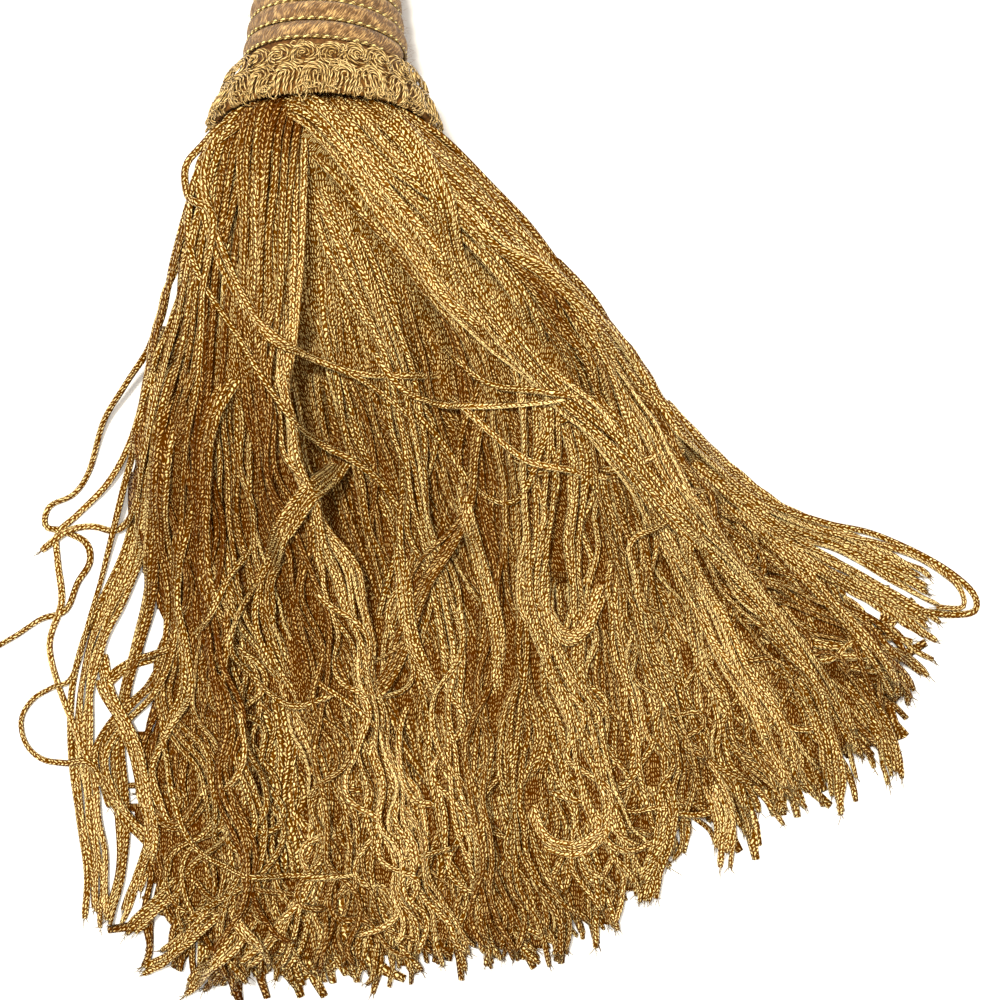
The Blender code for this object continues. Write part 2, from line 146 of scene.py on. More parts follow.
class Bundle:
    """Collects tubes of one finish, then joins them as a single piece."""

    def __init__(self):
        self.points, self.faces, self.runs, self.tones, self.tone_and_painted_light = [], [], [], [], []
        self.count = 0

    def tube(self, centre, wide, tall, turn, sides, pitch, tone, tip=0.75, up=(0.0, 0.0, 1.0), tone_and_painted_light=0.0):
        """Adds a closed tube. u runs round it and v along it, one unit for each pitch."""
        n = len(centre)
        run = run_along(centre)
        way = unit(np.gradient(centre, axis=0))
        side = unit(np.cross(way, np.broadcast_to(up, way.shape)))
        over = np.cross(side, way)
        wide, tall, turn, tone, tone_and_painted_light = (np.broadcast_to(value, n).astype(float)
                                        for value in (wide, tall, turn, tone, tone_and_painted_light))
        shrink = np.ones(n)
        shrink[0] = shrink[-1] = tip
        angle = math.tau * np.arange(sides) / sides
        oval_x = np.cos(angle)[None] * (wide * shrink)[:, None]
        oval_y = np.sin(angle)[None] * (tall * shrink)[:, None]
        cos, sin = np.cos(turn)[:, None], np.sin(turn)[:, None]
        x, y = oval_x * cos - oval_y * sin, oval_x * sin + oval_y * cos
        points = centre[:, None] + x[..., None] * side[:, None] + y[..., None] * over[:, None]
        points[..., 2] = np.maximum(points[..., 2], REST)
        self.points.append(points.reshape(-1, 3))
        self.tones.append(np.repeat(tone, sides))
        # The second tone is the first one shifted, mostly by painted shade and painted highlight.
        self.tone_and_painted_light.append(np.repeat(tone + tone_and_painted_light, sides))
        ring = np.arange(n - 1)[:, None] * sides + self.count
        k = np.arange(sides)[None]
        after = (k + 1) % sides
        quads = np.stack([ring + k, ring + sides + k, ring + sides + after, ring + after], axis=-1)
        self.faces.extend(quads.reshape(-1, 4).tolist())
        u0 = np.broadcast_to(k / sides, (n - 1, sides))
        u1 = u0 + 1 / sides
        v0 = np.broadcast_to((run[:-1] / pitch)[:, None], (n - 1, sides))
        v1 = np.broadcast_to((run[1:] / pitch)[:, None], (n - 1, sides))
        self.runs.append(np.stack([u0, v0, u0, v1, u1, v1, u1, v0], axis=-1).reshape(-1, 2))
        last = self.count + (n - 1) * sides
        self.faces.append(list(range(self.count, self.count + sides)))
        self.faces.append(list(range(last + sides - 1, last - 1, -1)))
        self.runs.append(np.tile((0.0, 0.0), (2 * sides, 1)))
        self.count += n * sides

    def finish(self, name, node, material):
        """Makes the piece, and hides the imported part of the node that it stands for."""
        show(name, node, material, np.concatenate(self.points), self.faces, np.concatenate(self.runs),
             np.concatenate(self.tones), np.concatenate(self.tone_and_painted_light))


# ---------------------------------------------------------------- properties

def rgb(*levels):
    """A linear colour from levels of 0 to 255 as a screen shows them."""
    return tuple((v / 255 / 12.92) if v <= 10 else ((v / 255 + 0.055) / 1.055) ** 2.4 for v in levels)


def length_setting(name, description, default):
    """A property that is a length in metres."""
    return FloatProperty(name=name, description=description, default=default, unit="LENGTH")


def colour_setting(name, description, *levels):
    """A property that is a colour, with levels of 0 to 255 to start with."""
    return FloatVectorProperty(name=name, description=description, subtype="COLOR", default=rgb(*levels))


# ---------------------------------------------------------------- materials

class Nodes:
    """A short way to write a material's node tree."""

    def __init__(self, name):
        self.material = bpy.data.materials.new(name)
        self.material.use_nodes = True
        self.tree = self.material.node_tree
        self.shader = self.tree.nodes["Principled BSDF"]

    def new(self, kind, **values):
        node = self.tree.nodes.new(kind)
        for key, value in values.items():
            setattr(node, key, value)
        return node

    def put(self, socket, value):
        """Links another node's output to a socket, or sets a constant on it."""
        if isinstance(value, bpy.types.NodeSocket):
            self.tree.links.new(value, socket)
        else:
            socket.default_value = value

    def math(self, operation, *values, clamp=False):
        node = self.new("ShaderNodeMath", operation=operation, use_clamp=clamp)
        for socket, value in zip(node.inputs, values):
            self.put(socket, value)
        return node.outputs[0]

    def uv(self):
        """The two directions of the UV map: round a strand and along it."""
        split = self.new("ShaderNodeSeparateXYZ")
        self.put(split.inputs[0], self.new("ShaderNodeUVMap", uv_map="run").outputs[0])
        return split.outputs[0], split.outputs[1]

    def tone(self, kind="tone"):
        return self.new("ShaderNodeAttribute", attribute_name=kind).outputs["Fac"]

    def noise(self, scale, detail, place=None):
        node = self.new("ShaderNodeTexNoise")
        node.inputs["Scale"].default_value = scale
        node.inputs["Detail"].default_value = detail
        self.put(node.inputs["Vector"], place or self.new("ShaderNodeTexCoord").outputs["Object"])
        return node.outputs["Fac"]

    def uneven(self, value, amount, scale, detail):
        """A value with some noise added to it."""
        return self.math("MULTIPLY_ADD", self.math("SUBTRACT", self.noise(scale, detail), 0.5), amount, value)

    def chance(self, *places):
        """A number from 0 to 1 that differs at each whole place."""
        place = self.new("ShaderNodeCombineXYZ")
        for socket, value in zip(place.inputs, places):
            self.put(socket, value)
        node = self.new("ShaderNodeTexWhiteNoise", noise_dimensions="3D")
        self.put(node.inputs["Vector"], place.outputs[0])
        return node.outputs["Value"]

    def ramp(self, value, stops):
        """Colours along a value, from places and the colour at each."""
        node = self.new("ShaderNodeValToRGB")
        self.put(node.inputs[0], value)
        marks = node.color_ramp.elements
        stops = list(stops)
        while len(marks) < len(stops):
            marks.new(0.5)
        for mark, (place, colour) in zip(marks, stops):
            mark.position = place
            mark.color = (*colour, 1.0)
        return node.outputs[0]

    def colour(self, value, stops, shade=None):
        """Colours along a value as the surface's base colour, multiplied by a shade if there is one."""
        base = self.ramp(value, stops)
        if shade:
            mix = self.new("ShaderNodeMix", data_type="RGBA", blend_type="MULTIPLY")
            for socket, part in ((mix.inputs[0], 1.0), (mix.inputs[6], base), (mix.inputs[7], shade)):
                self.put(socket, part)
            base = mix.outputs[2]
        self.put(self.shader.inputs["Base Color"], base)

    def bump(self, height, distance):
        node = self.new("ShaderNodeBump")
        node.inputs["Distance"].default_value = distance
        self.put(node.inputs["Height"], height)
        self.put(self.shader.inputs["Normal"], node.outputs[0])

    def gloss(self, roughness, specular=0.5, sheen=0.0):
        self.shader.inputs["Specular Tint"].default_value = (1.0, 0.86, 0.62, 1.0)
        self.shader.inputs["Roughness"].default_value = roughness
        self.put(self.shader.inputs["Specular IOR Level"], specular)
        self.shader.inputs["Sheen Weight"].default_value = sheen


WHITE = (1.0, 1.0, 1.0)
KNIT = {
    "columns": 6.0, "column_waver": 1.1, "row_waver": 1.9,  # round a strand, and how far each strays
    "left_handed": 0.45, "hand_shift": 0.2, "slant": 0.55,  # share of the columns, their shift, a leg's slant
    "scatter": 0.22, "half": 0.29, "taper": 2.3, "blunt": 2.4, "uneven": 0.8,  # of one leg
    "rail": 0.6, "rail_half": 0.045, "rail_swing": 0.025,  # the raised thread along a strand's two edges
    "fuzz": 0.9, "tone_and_painted_light": 0.3,
}


def chain_knit(skirt):
    """Rayon chain-knit: short slanted legs in columns round the strand, with painted shade where they tuck
    under and a painted highlight on their crests.
    """
    m = Nodes("chain_knit")
    u, v = m.uv()
    column = m.uneven(m.math("MULTIPLY", u, KNIT["columns"]), KNIT["column_waver"], 700.0, 1.0)
    v = m.uneven(v, KNIT["row_waver"], 500.0, 1.0)
    # The hand that each column's legs slant to, then the place inside one leg.
    hand = m.chance(m.math("FLOOR", column), m.tone(), 0.0)
    hand = m.math("SIGN", m.math("SUBTRACT", hand, KNIT["left_handed"]))
    v = m.math("MULTIPLY_ADD", hand, KNIT["hand_shift"], v)
    random = m.math("SUBTRACT", m.chance(m.math("FLOOR", column), m.math("FLOOR", v), m.tone()), 0.5)
    x = m.math("MULTIPLY_ADD", random, KNIT["scatter"], m.math("SUBTRACT", m.math("FRACT", column), 0.5))
    t = m.math("SUBTRACT", m.math("FRACT", v), 0.5)
    # A leg is a slanted ridge that sinks at both ends.
    off = m.math("MULTIPLY_ADD", m.math("MULTIPLY", hand, t), KNIT["slant"], x)
    off = m.math("DIVIDE", off, KNIT["half"])
    ridge = m.math("SUBTRACT", 1.0, m.math("MULTIPLY", off, off), clamp=True)
    ends = m.math("POWER", m.math("ABSOLUTE", m.math("MULTIPLY", t, KNIT["taper"])), KNIT["blunt"])
    leg = m.math("MULTIPLY", ridge, m.math("SUBTRACT", 1.0, ends, clamp=True))
    leg = m.math("MULTIPLY", leg, m.math("MULTIPLY_ADD", random, KNIT["uneven"], 1.0))
    # The edges of the strand carry a thread that runs its whole length.
    swing = m.math("MULTIPLY", m.math("SINE", m.math("MULTIPLY", v, math.tau)), KNIT["rail_swing"])
    edge = m.math("DIVIDE", m.math("PINGPONG", m.math("ADD", u, swing), 0.5), KNIT["rail_half"])
    rail = m.math("SUBTRACT", KNIT["rail"], m.math("MULTIPLY", edge, edge), clamp=True)
    leg = m.math("MAXIMUM", leg, rail)
    # Strands of low tone and painted shade are darker and redder as a whole; high tone and painted highlight
    # make them paler.
    tone_and_painted_light = m.tone("tone_and_painted_light")
    lift = m.uneven(leg, KNIT["fuzz"], 900.0, 3.0)
    lift = m.math("MULTIPLY_ADD", m.math("SUBTRACT", tone_and_painted_light, 0.5), KNIT["tone_and_painted_light"], lift)
    shade = m.ramp(tone_and_painted_light, [(0.0, (0.64, 0.50, 0.36)), (0.5, WHITE), (1.0, (1.10, 1.09, 1.12))])
    # The colour follows the legs' relief: down between them it is painted shade, on their crests a painted
    # highlight.
    m.colour(lift, [(0.11, skirt.dark), (0.40, skirt.body), (0.62, skirt.bright)], shade)
    m.bump(leg, skirt.stitch_relief)
    m.gloss(0.3, m.math("MULTIPLY_ADD", lift, 1.6, -0.15, clamp=True))
    return m.material


def two_ply(name, colours, relief, roughness, sheen=0.0, dull_and_shaded=WHITE):
    """Twisted yarn: two plies wound round each other, with a fine grain; painted shade in the grooves between
    plies and a painted highlight on their crests, and darker where its tone is low.
    """
    m = Nodes(name)
    u, v = m.uv()
    place = m.math("FRACT", m.math("MULTIPLY_ADD", u, 2.0, v))
    edge = m.math("SUBTRACT", m.math("MULTIPLY", place, 2.0), 1.0)
    ply = m.math("SUBTRACT", 1.0, m.math("MULTIPLY", edge, edge))
    lift = m.uneven(ply, 0.5, 1500.0, 3.0)
    # A low tone is a duller thread on the ruff, and painted shade where the cord's ply turns inward.
    shade = m.ramp(m.tone(), [(0.0, dull_and_shaded), (0.5, WHITE), (1.0, WHITE)])
    m.colour(lift, zip((0.05, 0.55, 1.0), colours), shade)
    m.bump(lift, relief)
    m.gloss(roughness, 0.5, sheen)
    return m.material


def fibre_yarn(name, colours, relief):
    """Soft yarn: fine streaks of fibre that slant round it, over slow patches of light and dark; the brightest
    streaks are shiny fibres whose shine is a painted glint.
    """
    m = Nodes(name)
    u, v = m.uv()
    place = m.new("ShaderNodeCombineXYZ")
    m.put(place.inputs[0], m.math("MULTIPLY_ADD", u, 26.0, m.math("MULTIPLY", v, -9.0)))
    m.put(place.inputs[1], m.math("MULTIPLY", v, 3.0))
    lift = m.uneven(m.noise(1.0, 3.0, place.outputs[0]), 0.5, 500.0, 2.0)
    m.colour(lift, zip((0.36, 0.5, 0.68), colours))
    m.bump(lift, relief)
    m.gloss(0.8, 0.4, 0.12)
    return m.material


def plain_ground(name, dark, pale):
    """What shows between the yarns: a dark ground whose darkness is painted shade for the depth there."""
    m = Nodes(name)
    m.colour(m.noise(900.0, 3.0), [(0.35, dark), (0.7, pale)])
    m.bump(m.noise(1400.0, 2.0), 0.0002)
    m.gloss(0.8, 0.3)
    return m.material


def spun(name, node, material, profile, steps, shape=None):
    """A closed piece turned round the head's axis from a profile of places along it and radii."""
    bm = bmesh.new()
    points = on_axis(np.array([p[0] for p in profile]), np.array([p[1] for p in profile]), 0.0)
    verts = [bm.verts.new(p) for p in points]
    edges = [bm.edges.new(pair) for pair in zip(verts, verts[1:])]
    bmesh.ops.spin(bm, geom=verts + edges, cent=Vector(RIM_CENTRE), axis=Vector(AXIS), angle=math.tau,
                   steps=steps, use_merge=True)
    bmesh.ops.remove_doubles(bm, verts=bm.verts, dist=1e-6)
    if shape:
        for v in bm.verts:
            v.co = shape(v.co)
    bmesh.ops.recalc_face_normals(bm, faces=bm.faces)
    mesh = bpy.data.meshes.new(name)
    bm.to_mesh(mesh)
    bm.free()
    link(mesh, name, node, material)


# ---------------------------------------------------------------- head

HEAD = {"base_r": 0.0192, "far_r": 0.0128, "taper": 0.0300, "shoulder": 0.0070, "top_flat_r": 0.0070,
        "stub_end": 0.0066, "stub_r": 0.0186, "clear_of_ruff": 0.0143}
WIND = {"pitch": 0.0050, "start": 0.0005, "cord_rise": 0.0008, "roving_rise": 0.0002, "mean_r": 0.0165}
HAIR = {"length": (0.0005, 0.0013), "half": 0.000022, "bend": 0.0003}
SHOULDER_START = HEAD_LENGTH - HEAD["shoulder"]


def groove_radius(along):
    """Radius of the head under its winding."""
    return HEAD["far_r"] + (HEAD["base_r"] - HEAD["far_r"]) * np.exp(-(along - RUFF_LENGTH) / HEAD["taper"])


def head_profile():
    """Line of the head from the ruff to the flat at its far end: distance along it, along, radius."""
    cone = np.linspace(RUFF_LENGTH, SHOULDER_START, 60)
    wide = groove_radius(SHOULDER_START)
    angle = np.linspace(0, math.pi / 2, 24)[1:]
    along = np.concatenate([cone, SHOULDER_START + HEAD["shoulder"] * np.sin(angle)])
    radius = np.concatenate([groove_radius(cone),
                             HEAD["top_flat_r"] + (wide - HEAD["top_flat_r"]) * np.cos(angle)])
    return run_along(np.column_stack([along, radius])), along, radius


PROFILE = head_profile()
TURNS = int((PROFILE[0][-1] - 0.0004) / WIND["pitch"]) - 1


def wound(distance, rise, turn):
    """Points of the winding and the way out of it there: a distance along the profile, raised off it."""
    distance, rise, turn = np.broadcast_arrays(distance, rise, turn)
    along, radius = (np.interp(distance, PROFILE[0], PROFILE[k]) for k in (1, 2))
    small = 0.0005
    run, lift = (np.interp(distance + small, PROFILE[0], PROFILE[k])
                 - np.interp(distance - small, PROFILE[0], PROFILE[k]) for k in (1, 2))
    size = np.hypot(run, lift)
    way = outward(turn) * (run / size)[..., None] - AXIS * (lift / size)[..., None]
    return on_axis(along, radius, turn) + way * rise[..., None], way


class TasselHeadSettings(bpy.types.PropertyGroup):
    roving_width: length_setting("Roving width", "Across the thick roving", 0.0044)
    roving_height: length_setting("Roving height", "Through the thick roving", 0.0027)
    cord_twist: length_setting("Cord twist", "Length of one whole turn of the thin cord", 0.0023)
    ply_radius: length_setting("Ply radius", "Of each of the thin cord's two plies", 0.00025)
    hairs: IntProperty(name="Hairs", description="Loose hairs that stand off the roving", default=2200, min=0)
    tan: colour_setting("Roving", "Colour of the roving", 126, 90, 54)
    gold: colour_setting("Cord", "Colour of the thin cord", 196, 158, 100)


def head_core():
    """The mould under the winding, closed at both ends."""
    stub_end, stub_r, clear = HEAD["stub_end"], HEAD["stub_r"], HEAD["clear_of_ruff"]
    steps = [(stub_end, 0.0), (stub_end, stub_r), (clear, stub_r), (clear, groove_radius(clear))]
    bell = list(zip(*PROFILE[1:]))[1:]
    # The mould's dark colour is painted shade, for the depth between the turns.
    ground = plain_ground("roving_shade", rgb(70, 40, 14), rgb(120, 80, 40))
    spun("head_core", "head_winding", ground, [*steps, *bell, (HEAD_LENGTH, 0.0)], 48)


def wind_roving(settings):
    """The thick roving, laid round the bell turn against turn."""
    bundle = Bundle()
    turns = np.linspace(0.05, TURNS - 0.05, TURNS * 64)
    distance = WIND["start"] + WIND["pitch"] * (turns + 0.5)
    tall = settings.roving_height / 2
    centre, way = wound(distance, WIND["roving_rise"], math.tau * turns)
    chance = np.random.default_rng(8)
    knots = np.arange(0, len(turns), 9)
    uneven = 1 + 0.05 * np.interp(np.arange(len(turns)), knots, chance.normal(size=len(knots)))
    bundle.tube(centre, settings.roving_width / 2 * uneven, tall * uneven, 0.0, 14, 0.0028, 0.5, up=way)
    tan = np.array(settings.tan)
    # The brightest streaks take the cord's gold: yellow fibres, their shine a painted glint.
    finish = fibre_yarn("tan_roving", (tan * (0.5, 0.45, 0.25), tan, np.array(settings.gold) * 1.25), 0.0008)
    bundle.finish("head_roving", "head_winding", finish)


def raise_hairs(settings):
    """Loose hairs over the roving, each a short bent line."""
    bundle = Bundle()
    chance = np.random.default_rng(21)
    for _ in range(settings.hairs):
        turn = chance.uniform(0, TURNS)
        share = chance.uniform(0.2, 0.8)
        rise = WIND["roving_rise"] + settings.roving_height / 2 * math.sin(math.pi * share) * 0.95
        foot, way = wound(WIND["start"] + WIND["pitch"] * (turn + share), rise, math.tau * turn)
        lean = way * chance.uniform(0.5, 1.2) + chance.normal(size=3) * 0.7
        bend = chance.normal(size=3) * HAIR["bend"]
        length = chance.uniform(*HAIR["length"])
        t = np.linspace(0, 1, 4)[:, None]
        hair = foot + lean * length * t + bend * t**2
        hair[:, 2] = np.maximum(hair[:, 2], 2 * REST)
        bundle.tube(hair, HAIR["half"], HAIR["half"], 0.0, 3, 0.001, 0.5, tip=0.4)
    tan = np.array(settings.tan)
    finish = two_ply("loose_hairs", (tan, tan * 1.1, np.minimum(tan * 1.3, 1)), 0.00001, roughness=0.7,
                     sheen=0.3)
    bundle.finish("head_hairs", "head_winding", finish)


def twist_cord(settings):
    """The thin cord in the groove: a bright ply and a dull one, twisted round each other."""
    bundle = Bundle()
    chance = np.random.default_rng(9)
    r, point_step, patch = settings.ply_radius, 0.0003, 0.0015
    turns = np.linspace(0.12, TURNS - 0.08, int(TURNS * 2 * math.pi * WIND["mean_r"] / point_step))
    middle, way = wound(WIND["start"] + WIND["pitch"] * turns, WIND["cord_rise"], math.tau * turns)
    run = run_along(middle)
    sideways = np.cross(unit(np.gradient(middle, axis=0)), way)
    for half_turn, bright in ((0.0, 1.0), (math.pi, 0.0)):
        angle = math.tau * run / settings.cord_twist + half_turn
        off = sideways * np.cos(angle)[:, None] + way * np.sin(angle)[:, None]
        patches = chance.uniform(0.35, 1, int(run[-1] / patch) + 2)
        uneven = np.interp(run, np.arange(len(patches)) * patch, patches)
        # Painted shade: the bright ply darkens where it turns inward, into the groove; the other ply is dull
        # all along.
        shown = np.clip(np.sin(angle) * 1.8 - 0.2, 0, 1) * bright * uneven
        bundle.tube(middle + off * r * 0.95, r, r, 0.0, 6, 0.0012, shown, up=way)
    gold = np.array(settings.gold)
    # The cord's palest colour, on the plies' crests, is a painted highlight.
    finish = two_ply("gold_cord", (gold * 0.3, gold, np.minimum(gold * 2.6, 1)), 0.00012, roughness=0.25,
                     dull_and_shaded=(0.22, 0.15, 0.10))
    bundle.finish("head_cord_twist", "head_cord", finish)


class OBJECT_OT_tassel_head(bpy.types.Operator):
    """Winds the roving and its thin cord round the bell of the head"""
    bl_idname = "object.tassel_head"
    bl_label = "Wound head"

    def execute(self, context):
        settings = context.scene.tassel_head
        head_core()
        wind_roving(settings)
        raise_hairs(settings)
        twist_cord(settings)
        return {"FINISHED"}


# ---------------------------------------------------------------- ruff

RUFF = {"rim_r": 0.0266, "top_r": 0.0208, "bore_r": 0.0189, "bore_straight": 0.0050, "mouth_r": 0.0249}
SCROLL_ROWS = (  # centre and half height up the ruff, turn in scrolls, and whether its legs run to the rim
    {"name": "lower", "centre": 0.0045, "half": 0.0040, "turn": 0.0, "legs": True},
    {"name": "upper", "centre": 0.0103, "half": 0.0037, "turn": 0.5, "legs": False},
)
SCROLL = {"reach": 0.0036, "mean_r": 0.0236, "rise": 0.0021, "sunk": 0.0003, "leg_points": 13}
RIM_CURL = {"length": 0.0009, "inset": 0.0010, "thick": 0.0003}
LOOPS = {"size": (0.0005, 0.0012), "at_rim": (0.0002, 0.0016), "above": (0.002, 0.0132), "bend": (3.4, 5.6),
         "lift": 0.0015, "arch": 0.0004, "points": 11}


def ruff_place(around, up, lift, turn):
    """Points around the ruff from an angle, up it from the rim, where it curls under, and lifted off it."""
    under = np.clip(-up / RIM_CURL["length"], 0, 1) * math.pi / 2
    above = np.maximum(up, 0)
    radius = RUFF["rim_r"] + (RUFF["top_r"] - RUFF["rim_r"]) * above / RUFF_LENGTH
    angle = turn + around / radius
    radius = radius - RIM_CURL["inset"] * (1 - np.cos(under)) + lift * np.cos(under)
    place = on_axis(above - (RIM_CURL["thick"] + lift) * np.sin(under), radius, angle)
    place[..., 2] = np.maximum(place[..., 2], 0.00027)
    return place, outward(angle)


def dome(around, up, row, scrolls):
    """How far a scroll stands off the ruff."""
    half_width = math.pi * SCROLL["mean_r"] / scrolls
    share = 1 - (around / half_width) ** 2 * 0.95 - ((up - row["centre"]) / row["half"]) ** 2 * 0.8
    return SCROLL["rise"] * np.sqrt(np.clip(share, 0, 1)) - SCROLL["sunk"]


class TasselRuffSettings(bpy.types.PropertyGroup):
    scrolls: IntProperty(name="Scrolls", description="Scrolls in each row round the ruff", default=24, min=3)
    threads: IntProperty(name="Threads", description="Threads side by side in a scroll", default=5, min=1)
    thread_width: length_setting("Thread width", "Across one gold thread", 0.00048)
    rim_loops: IntProperty(name="Rim loops", description="Small loose loops along the rim",
                           default=130, min=0)
    gold: colour_setting("Thread", "Colour of the gold thread", 122, 85, 18)
    crest: colour_setting("Thread's crest", "Colour of the thread where it shines", 236, 203, 138)


def ruff_body():
    """The band under the scrolls, with its flared bore."""
    r = RUFF
    profile = [(0.0004, r["mouth_r"]), (0.0, r["mouth_r"] + 0.0006), (0.0002, r["rim_r"] - 0.0006),
               (0.0010, r["rim_r"] - 0.0004), (0.0070, 0.0233), (0.0128, 0.0210), (0.0137, 0.0203),
               (0.0138, r["bore_r"] + 0.0001), (0.0100, r["bore_r"]), (r["bore_straight"], r["bore_r"]),
               (0.0025, 0.0219), (0.0004, r["mouth_r"])]

    def rest(place):
        return Vector((place.x, place.y, max(place.z, 0.0)))

    # The band's dark colour is painted shade, for the depth between the scrolls and in the mouth.
    ground = plain_ground("ruff_shade", rgb(84, 50, 12), rgb(128, 84, 30))
    spun("ruff_body", "ruff", ground, profile, 96, rest)


def scroll_line(chance, row, size, middle):
    """One thread of a scroll, flat on the ruff: an arch whose legs run to the rim, or most of a ring."""
    if row["legs"]:
        points = SCROLL["leg_points"]
        bend = np.linspace(-math.pi / 2, math.pi / 2, max(9, int(size * 5200)))
        leg = np.linspace(1, 0, points, endpoint=False)
        leg = leg * (middle + 0.0002 + RIM_CURL["length"] * chance.uniform(0.5, 1.2))
        around = np.concatenate([np.full(points, -size), size * np.sin(bend), np.full(points, size)])
        up = np.concatenate([-leg, size * np.cos(bend), -leg[::-1]])
    else:
        reach = math.radians(chance.uniform(150, 186))
        bend = np.linspace(-reach, reach, max(9, int(size * 9000)))
        around, up = size * np.sin(bend), size * np.cos(bend)
    return around, up


def ruff_scrolls(settings):
    """Gold threads laid side by side round each scroll."""
    bundle = Bundle()
    chance = np.random.default_rng(3)
    half = settings.thread_width / 2
    spacing = SCROLL["reach"] / settings.threads
    for row in SCROLL_ROWS:
        for k in range(settings.scrolls):
            turn = math.tau * (k - row["turn"]) / settings.scrolls + chance.normal() * 0.008
            middle = row["centre"] + chance.normal() * 0.00022
            squash = chance.uniform(0.9, 1.08)
            tilt = chance.normal() * 0.28
            for ring in range(settings.threads):
                size = spacing * (ring + 0.75 + chance.normal() * 0.12)
                around, up = scroll_line(chance, row, size, middle)
                around = around * squash + wander(chance, np.linspace(0, 1, len(around)), WAVES["thread"])
                around, up = (around * math.cos(tilt) - up * math.sin(tilt),
                              around * math.sin(tilt) + up * math.cos(tilt) + middle)
                lift = dome(around, up, row, settings.scrolls) + half * 0.7 + chance.normal() * 0.00008
                place, way = ruff_place(around, up, lift, turn)
                bundle.tube(place, half, half, 0.0, 5, 0.0019, chance.uniform(), up=way)
    gold = np.array(settings.gold)
    finish = two_ply("gold_thread", (gold * 0.4, gold * 0.9, settings.crest), 0.00014, roughness=0.35,
                     dull_and_shaded=(0.58, 0.52, 0.36))
    bundle.finish("ruff_scrolls", "ruff", finish)
    return finish


def ruff_loops(settings, finish):
    """Small loops that have worked loose along the rim and between the rows."""
    bundle = Bundle()
    chance = np.random.default_rng(14)
    half = settings.thread_width / 2 * 0.8
    for k in range(settings.rim_loops * 2):
        turn = chance.uniform(0, math.tau)
        size = chance.uniform(*LOOPS["size"])
        middle = chance.uniform(*LOOPS["at_rim" if k < settings.rim_loops else "above"])
        start = chance.uniform(0, math.tau)
        bend = start + np.linspace(0, chance.uniform(*LOOPS["bend"]), LOOPS["points"])
        around = size * np.cos(bend) * chance.uniform(0.7, 1.3)
        up = middle + size * np.sin(bend)
        lift = LOOPS["lift"] * chance.uniform(0.45, 1.0)
        lift = lift + LOOPS["arch"] * np.sin(np.linspace(0, math.pi, LOOPS["points"]))
        place, way = ruff_place(around, up, lift, turn)
        bundle.tube(place, half, half, 0.0, 5, 0.0011, chance.uniform(), up=way)
    bundle.finish("ruff_loops", "ruff", finish)


class OBJECT_OT_tassel_ruff(bpy.types.Operator):
    """Makes the ruff and lays gold thread round its two rows of scrolls"""
    bl_idname = "object.tassel_ruff"
    bl_label = "Scrolled ruff"

    def execute(self, context):
        settings = context.scene.tassel_ruff
        ruff_body()
        finish = ruff_scrolls(settings)
        ruff_loops(settings, finish)
        return {"FINISHED"}


# ---------------------------------------------------------------- skirt

NECK_SHARES = (0.0, 0.06, 0.25, 0.5, 0.75, 1.0)
FLOW = (  # place across the skirt, length, headings in degrees at NECK_SHARES: 0 is -Y, + is to +X
    {"across": 0.00, "length": 0.202, "headings": (-38, -11, -10, -20, -10, 7)},
    {"across": 0.15, "length": 0.212, "headings": (-38, -11, -6, -6, -5, -1)},
    {"across": 0.29, "length": 0.213, "headings": (-20, -5, 0, 2, 2, 1)},
    {"across": 0.43, "length": 0.211, "headings": (0, 4, 9, 10, 9, 6)},
    {"across": 0.56, "length": 0.212, "headings": (20, 20, 22, 20, 14, 9)},
    {"across": 0.66, "length": 0.193, "headings": (34, 32, 30, 25, 18, 12)},
    {"across": 0.71, "length": 0.202, "headings": (42, 39, 35, 28, 22, 16)},
    {"across": 0.81, "length": 0.201, "headings": (55, 45, 40, 32, 32, 29)},
    {"across": 1.00, "length": 0.186, "headings": (57, 44, 41, 30, 68, 58)},
)
# How strands come down from the ruff, pack on one another and lie beside each other.
SETTLE = {"free_share": 0.06, "fall": 0.030, "fall_per_height": 3.2, "swell": 0.0020, "swell_length": 0.016,
          "free_points": 4, "pack": 0.62, "beside": 0.78, "flat": 0.34, "soft": 4}
# Strands that keep together: how many, and the shares of their length where they shift and narrow.
RIBBON = {"strands": (4, 10), "fewest": 3, "shift_from": 0.2, "shift_over": 0.55, "narrow_from": 0.75,
          "narrow_over": 0.25, "narrow_by": 0.75, "open_over": 0.5, "most_twist": 2.6, "tries": 24}
LEVELS = {"low": -0.2, "parted": 0.15, "top": 0.2}  # of the roots up the ruff's mouth, from -1 to 1
EDGES = (0.2, 0.8)  # places across the skirt that its outer ribbons end beyond
# Where the topmost ribbons start and end, from the places that they would have across the skirt.
PARTING = {"over_levels": 0.35, "across": (0, 0.32, 0.38, 1),
           "start": (0, 0.40, 0.66, 1), "end": (0, 0.42, 0.47, 1)}
# How a strand joins its root and how its tip hooks, in shares of its length and in degrees.
STRAND = {"join_over": 0.3, "wild": 0.22, "hook_from": (0.82, 0.97), "hook_over": 0.18, "hook": 30,
          "sharp": 0.15, "sharp_hook": 110}
# Where short strands may stray, how long they are, and how deep the heap has to be under them.
STRAY = {"across": (0.15, 0.84), "share": (0.4, 0.93), "length": (0.018, 0.050), "turn": 40, "lowest": 0.004}
# A strand's cross-section along its way, in shares of its width.
SECTION = {"root": 1.2, "narrow_by": 0.22, "narrow_over": 0.35, "tip": 0.07, "flat": 0.74, "turn": 0.3,
           "clear": 1.03}
# How unevenly ribbons start and end across the skirt, and how unevenly they are cut.
RAGGED = {"start": 0.015, "end": 0.06, "low_end": 0.10, "ribbon": 0.0060, "strand": 0.0028, "right": 0.0015,
          "spare": 0.0080}
